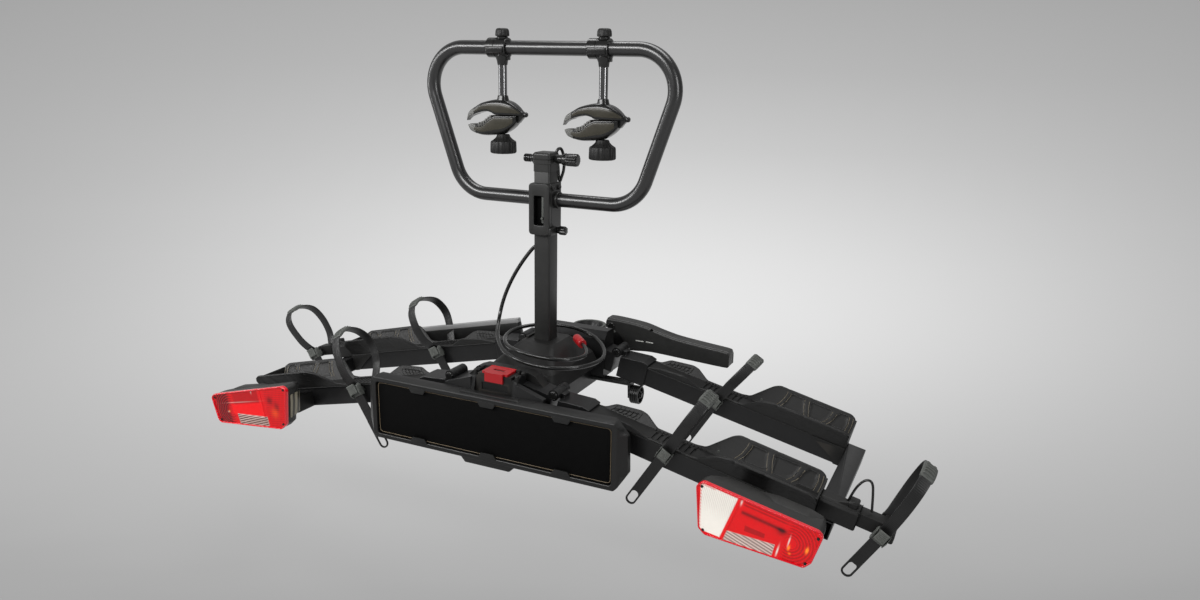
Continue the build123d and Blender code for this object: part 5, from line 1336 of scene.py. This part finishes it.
def camera():
    """Camera at the photograph's place: yaw, pitch and roll turn its axes."""
    data = bpy.data.cameras.new("camera")
    data.sensor_width = SENSOR
    data.lens = FOCAL_PIXELS / PICTURE_WIDTH * SENSOR
    data.clip_end = 50
    ahead = Vector((-math.sin(CAMERA_YAW) * math.cos(CAMERA_PITCH),
                    math.cos(CAMERA_YAW) * math.cos(CAMERA_PITCH), -math.sin(CAMERA_PITCH)))
    level = Vector((math.cos(CAMERA_YAW), math.sin(CAMERA_YAW), 0))
    above = level.cross(ahead)
    right = level * math.cos(CAMERA_ROLL) + above * math.sin(CAMERA_ROLL)
    up = above * math.cos(CAMERA_ROLL) - level * math.sin(CAMERA_ROLL)
    obj = bpy.data.objects.new("camera", data)
    obj.matrix_world = Matrix.Translation(CAMERA_PLACE) @ Matrix((right, up, -ahead)).transposed().to_4x4()
    bpy.context.scene.collection.objects.link(obj)
    bpy.context.scene.camera = obj


def lamp(name, place, aim, size, power):
    """Soft square lamp that points from place to aim."""
    data = bpy.data.lights.new(name, "AREA")
    data.shape = "RECTANGLE"
    data.size, data.size_y = size
    data.energy = power
    obj = bpy.data.objects.new(name, data)
    obj.location = place
    obj.rotation_euler = (Vector(aim) - Vector(place)).to_track_quat("-Z", "Y").to_euler()
    bpy.context.scene.collection.objects.link(obj)


def stage():
    """Pale floor under the rack that curves up behind it into a backdrop, lightest in the middle.

    Its tone falls with the sight angles a = across / reach and b = rise / reach + tan(pitch), reach being
    the distance from the camera's foot: q = (a / 0.62)^2 + (b / 0.21)^2 and t = 1 / (1 + q^1.1), a little
    darker at the picture's corners, from q = 3.2, and pale again beyond them, from q = 5.
    """
    depth = np.concatenate([np.linspace(-6, 0.4, 9), np.geomspace(0.6, 4.2, 40),
                            [4.6, 5.2, 5.8, 6.2, 6.4, 6.5, 6.5, 6.5]])
    height = np.interp(depth, [-6, 4.2, 4.6, 5.2, 5.8, 6.2, 6.4, 6.5],
                       [0, 0, 0.02, 0.15, 0.5, 1.0, 1.5, 2.0]) + FLOOR_LEVEL
    height[-2:] = (4.0, 9.0)
    depth = depth + FLOOR_START
    across = np.linspace(-9, 9, 61)
    local = np.stack(np.broadcast_arrays(across[:, None], depth, height), -1)
    turn = np.array(Matrix.Rotation(CAMERA_YAW, 3, "Z"))
    foot = turn.T @ np.array([CAMERA_PLACE[0], CAMERA_PLACE[1], 0])
    reach = np.maximum(local[..., 1] - foot[1], 0.25)
    a = (local[..., 0] - foot[0]) / reach - 0.05
    b = (local[..., 2] - CAMERA_PLACE[2]) / reach + math.tan(CAMERA_PITCH)
    spread = (a / 0.62) ** 2 + (b / 0.21) ** 2
    tone = 1 / (1 + spread ** 1.1) - 0.05 * smooth_step(spread, 3.2, 4.6)
    tone = tone + 0.35 * smooth_step(spread, 5, 20)
    points = local @ turn.T
    rows, columns = points.shape[:2]
    index = np.arange(rows * columns).reshape(rows, columns)
    quads = np.stack([index[:-1, :-1], index[1:, :-1], index[1:, 1:], index[:-1, 1:]], -1).reshape(-1, 4)
    mesh = bpy.data.meshes.new("floor")
    mesh.from_pydata(points.reshape(-1, 3).tolist(), [], quads.tolist())
    mesh.shade_smooth()
    store = mesh.attributes.new("tone", "FLOAT", "POINT")
    store.data.foreach_set("value", tone.ravel())
    floor = bpy.data.objects.new("floor", mesh)
    bpy.context.scene.collection.objects.link(floor)
    paint = Paint("backdrop")
    paint.surface(base_color=(0.5, 0.5, 0.5), roughness=0.9)
    tone = paint.node("ShaderNodeAttribute", {"attribute_name": "tone"}, {}, "Fac")
    shade = paint.mix(tone * 0.7 + 0.27, (0.08, 0.08, 0.08), (0.93, 0.93, 0.93))
    glow = paint.node("ShaderNodeEmission", {}, {"Color": shade, "Strength": 1.0})
    rays = [paint.node("ShaderNodeLightPath", {}, {}, name)
            for name in ("Is Camera Ray", "Is Glossy Ray", "Is Transmission Ray")]
    seen = (rays[0] + rays[1] + rays[2]) * 0.85
    diffuse = Wire(paint, paint.shader.outputs[0])
    both = paint.node("ShaderNodeMixShader", {}, {0: seen, 1: diffuse, 2: glow})
    paint.tree.links.new(both.socket, paint.tree.nodes["Material Output"].inputs["Surface"])
    mesh.materials.append(paint.material)


def lights():
    """Even world light, paler where it is seen than where it lights, and four large soft lamps."""
    world = bpy.data.worlds.new("studio")
    world.use_nodes = True
    tree = world.node_tree
    plain = tree.nodes["Background"]
    plain.inputs["Color"].default_value = (1, 1, 1, 1)
    plain.inputs["Strength"].default_value = WORLD_LIGHT
    seen = tree.nodes.new("ShaderNodeBackground")
    seen.inputs["Strength"].default_value = WORLD_SEEN
    rays = tree.nodes.new("ShaderNodeLightPath")
    joined = rays.outputs["Is Camera Ray"]
    for name, share in (("Is Glossy Ray", 0.3), ("Is Transmission Ray", 1.0)):
        total = tree.nodes.new("ShaderNodeMath")
        total.operation = "MULTIPLY_ADD"
        tree.links.new(rays.outputs[name], total.inputs[0])
        total.inputs[1].default_value = share
        tree.links.new(joined, total.inputs[2])
        joined = total.outputs[0]
    both = tree.nodes.new("ShaderNodeMixShader")
    tree.links.new(joined, both.inputs[0])
    tree.links.new(plain.outputs[0], both.inputs[1])
    tree.links.new(seen.outputs[0], both.inputs[2])
    tree.links.new(both.outputs[0], tree.nodes["World Output"].inputs["Surface"])
    bpy.context.scene.world = world
    lamp("front", (-1.3, -2.3, 1.5), (-1.3, -0.2, 0.4), (3.0, 0.55), 62)
    lamp("key", (-2.6, -1.2, 0.9), (0, -0.2, 0.3), (0.35, 1.5), 14)
    lamp("fill", (2.6, -1.4, 1.0), (0, -0.2, 0.3), (0.35, 1.5), 16)
    lamp("top", (0.2, 0.3, 2.8), (0, -0.2, 0.1), (3.0, 0.9), 44)


def wings():
    """Trays, straps, lamps and sliding bars of both sides, and the bar beside the left rear tray, its light
    grey top a painted highlight.
    """
    for side in SIDES:
        for name in ("front", "rear"):
            row = ROWS[name]
            tray(side, name, row, name == EXTENSION_ROW[side])
            tray_lines(side, name, row)
            loop = {"right_front": "upright", "right_rear": "low"}.get(f"{side}_{name}", f"left_{name}")
            strap(f"{side}_{name}", f"{side}_wing", loop, STRAP_SEAT, row, side, f"{side}_wheel_straps",
                  f"{side}_strap_fittings", f"{side}_{name}_ratchet")
        loop = "upright" if side == "right" else "left_extension"
        strap(f"{side}_outer", f"{side}_extension", loop, EXTENSION_SEAT, ROWS[EXTENSION_ROW[side]], side,
              f"{side}_extension_strap", f"{side}_extension_fittings", f"{side}_extension_ratchet")
        outline = rounded(LAMP_OUTLINE[side], 9, 4)
        lamp_front(side, outline)
        lamp_back(side, outline)
        extension_bar(side)
    # painted highlight: the bar's top strip is light grey for the glassy highlight along it, its wall below
    # dark
    for name, paint, low, high in (("guard", "guard", -15, -5), ("guard_wall", "handle", -46, -14.6)):
        guard = Shell().slab(box_outline(176, 480, low, high, 1.5), -38, -24, "xz", 1.2)
        guard.wing_piece("left", f"rear_{name}", paint, "powder_coat")


security_cable()
camera()
cable_cap()
wings()
hoop_pipe()
mast_with_cap()
cross_bolt()
hoop_bracket()
plate_holder()
lever_handle()
latch_trim()
for side in SIDES:
    for part in (clamp_arm, lower_jaw, clamp_knobs):
        part(side, ARM_X[side], HOOP[0])
    trolley_wheel(side)

# The nodes that no piece above stands for keep their own form
WIDE_EDGES = {"rail_frame": 0.0035, "hinge_arm": 0.003, "hub_frame": 0.002, "hub_cover": 0.002,
              "latch_housing": 0.0015}
for node in NODES:
    if not NODES[node].hide_render:
        width = [value for name, value in WIDE_EDGES.items() if name in node]
        paint = "cast" if "rail_frame" in node else PAINT_OF[SLOT_OF[node]]
        softened(node, paint, SLOT_OF[node], *width)
stage()
lights()
view = bpy.context.scene.view_settings
view.view_transform = "Standard"
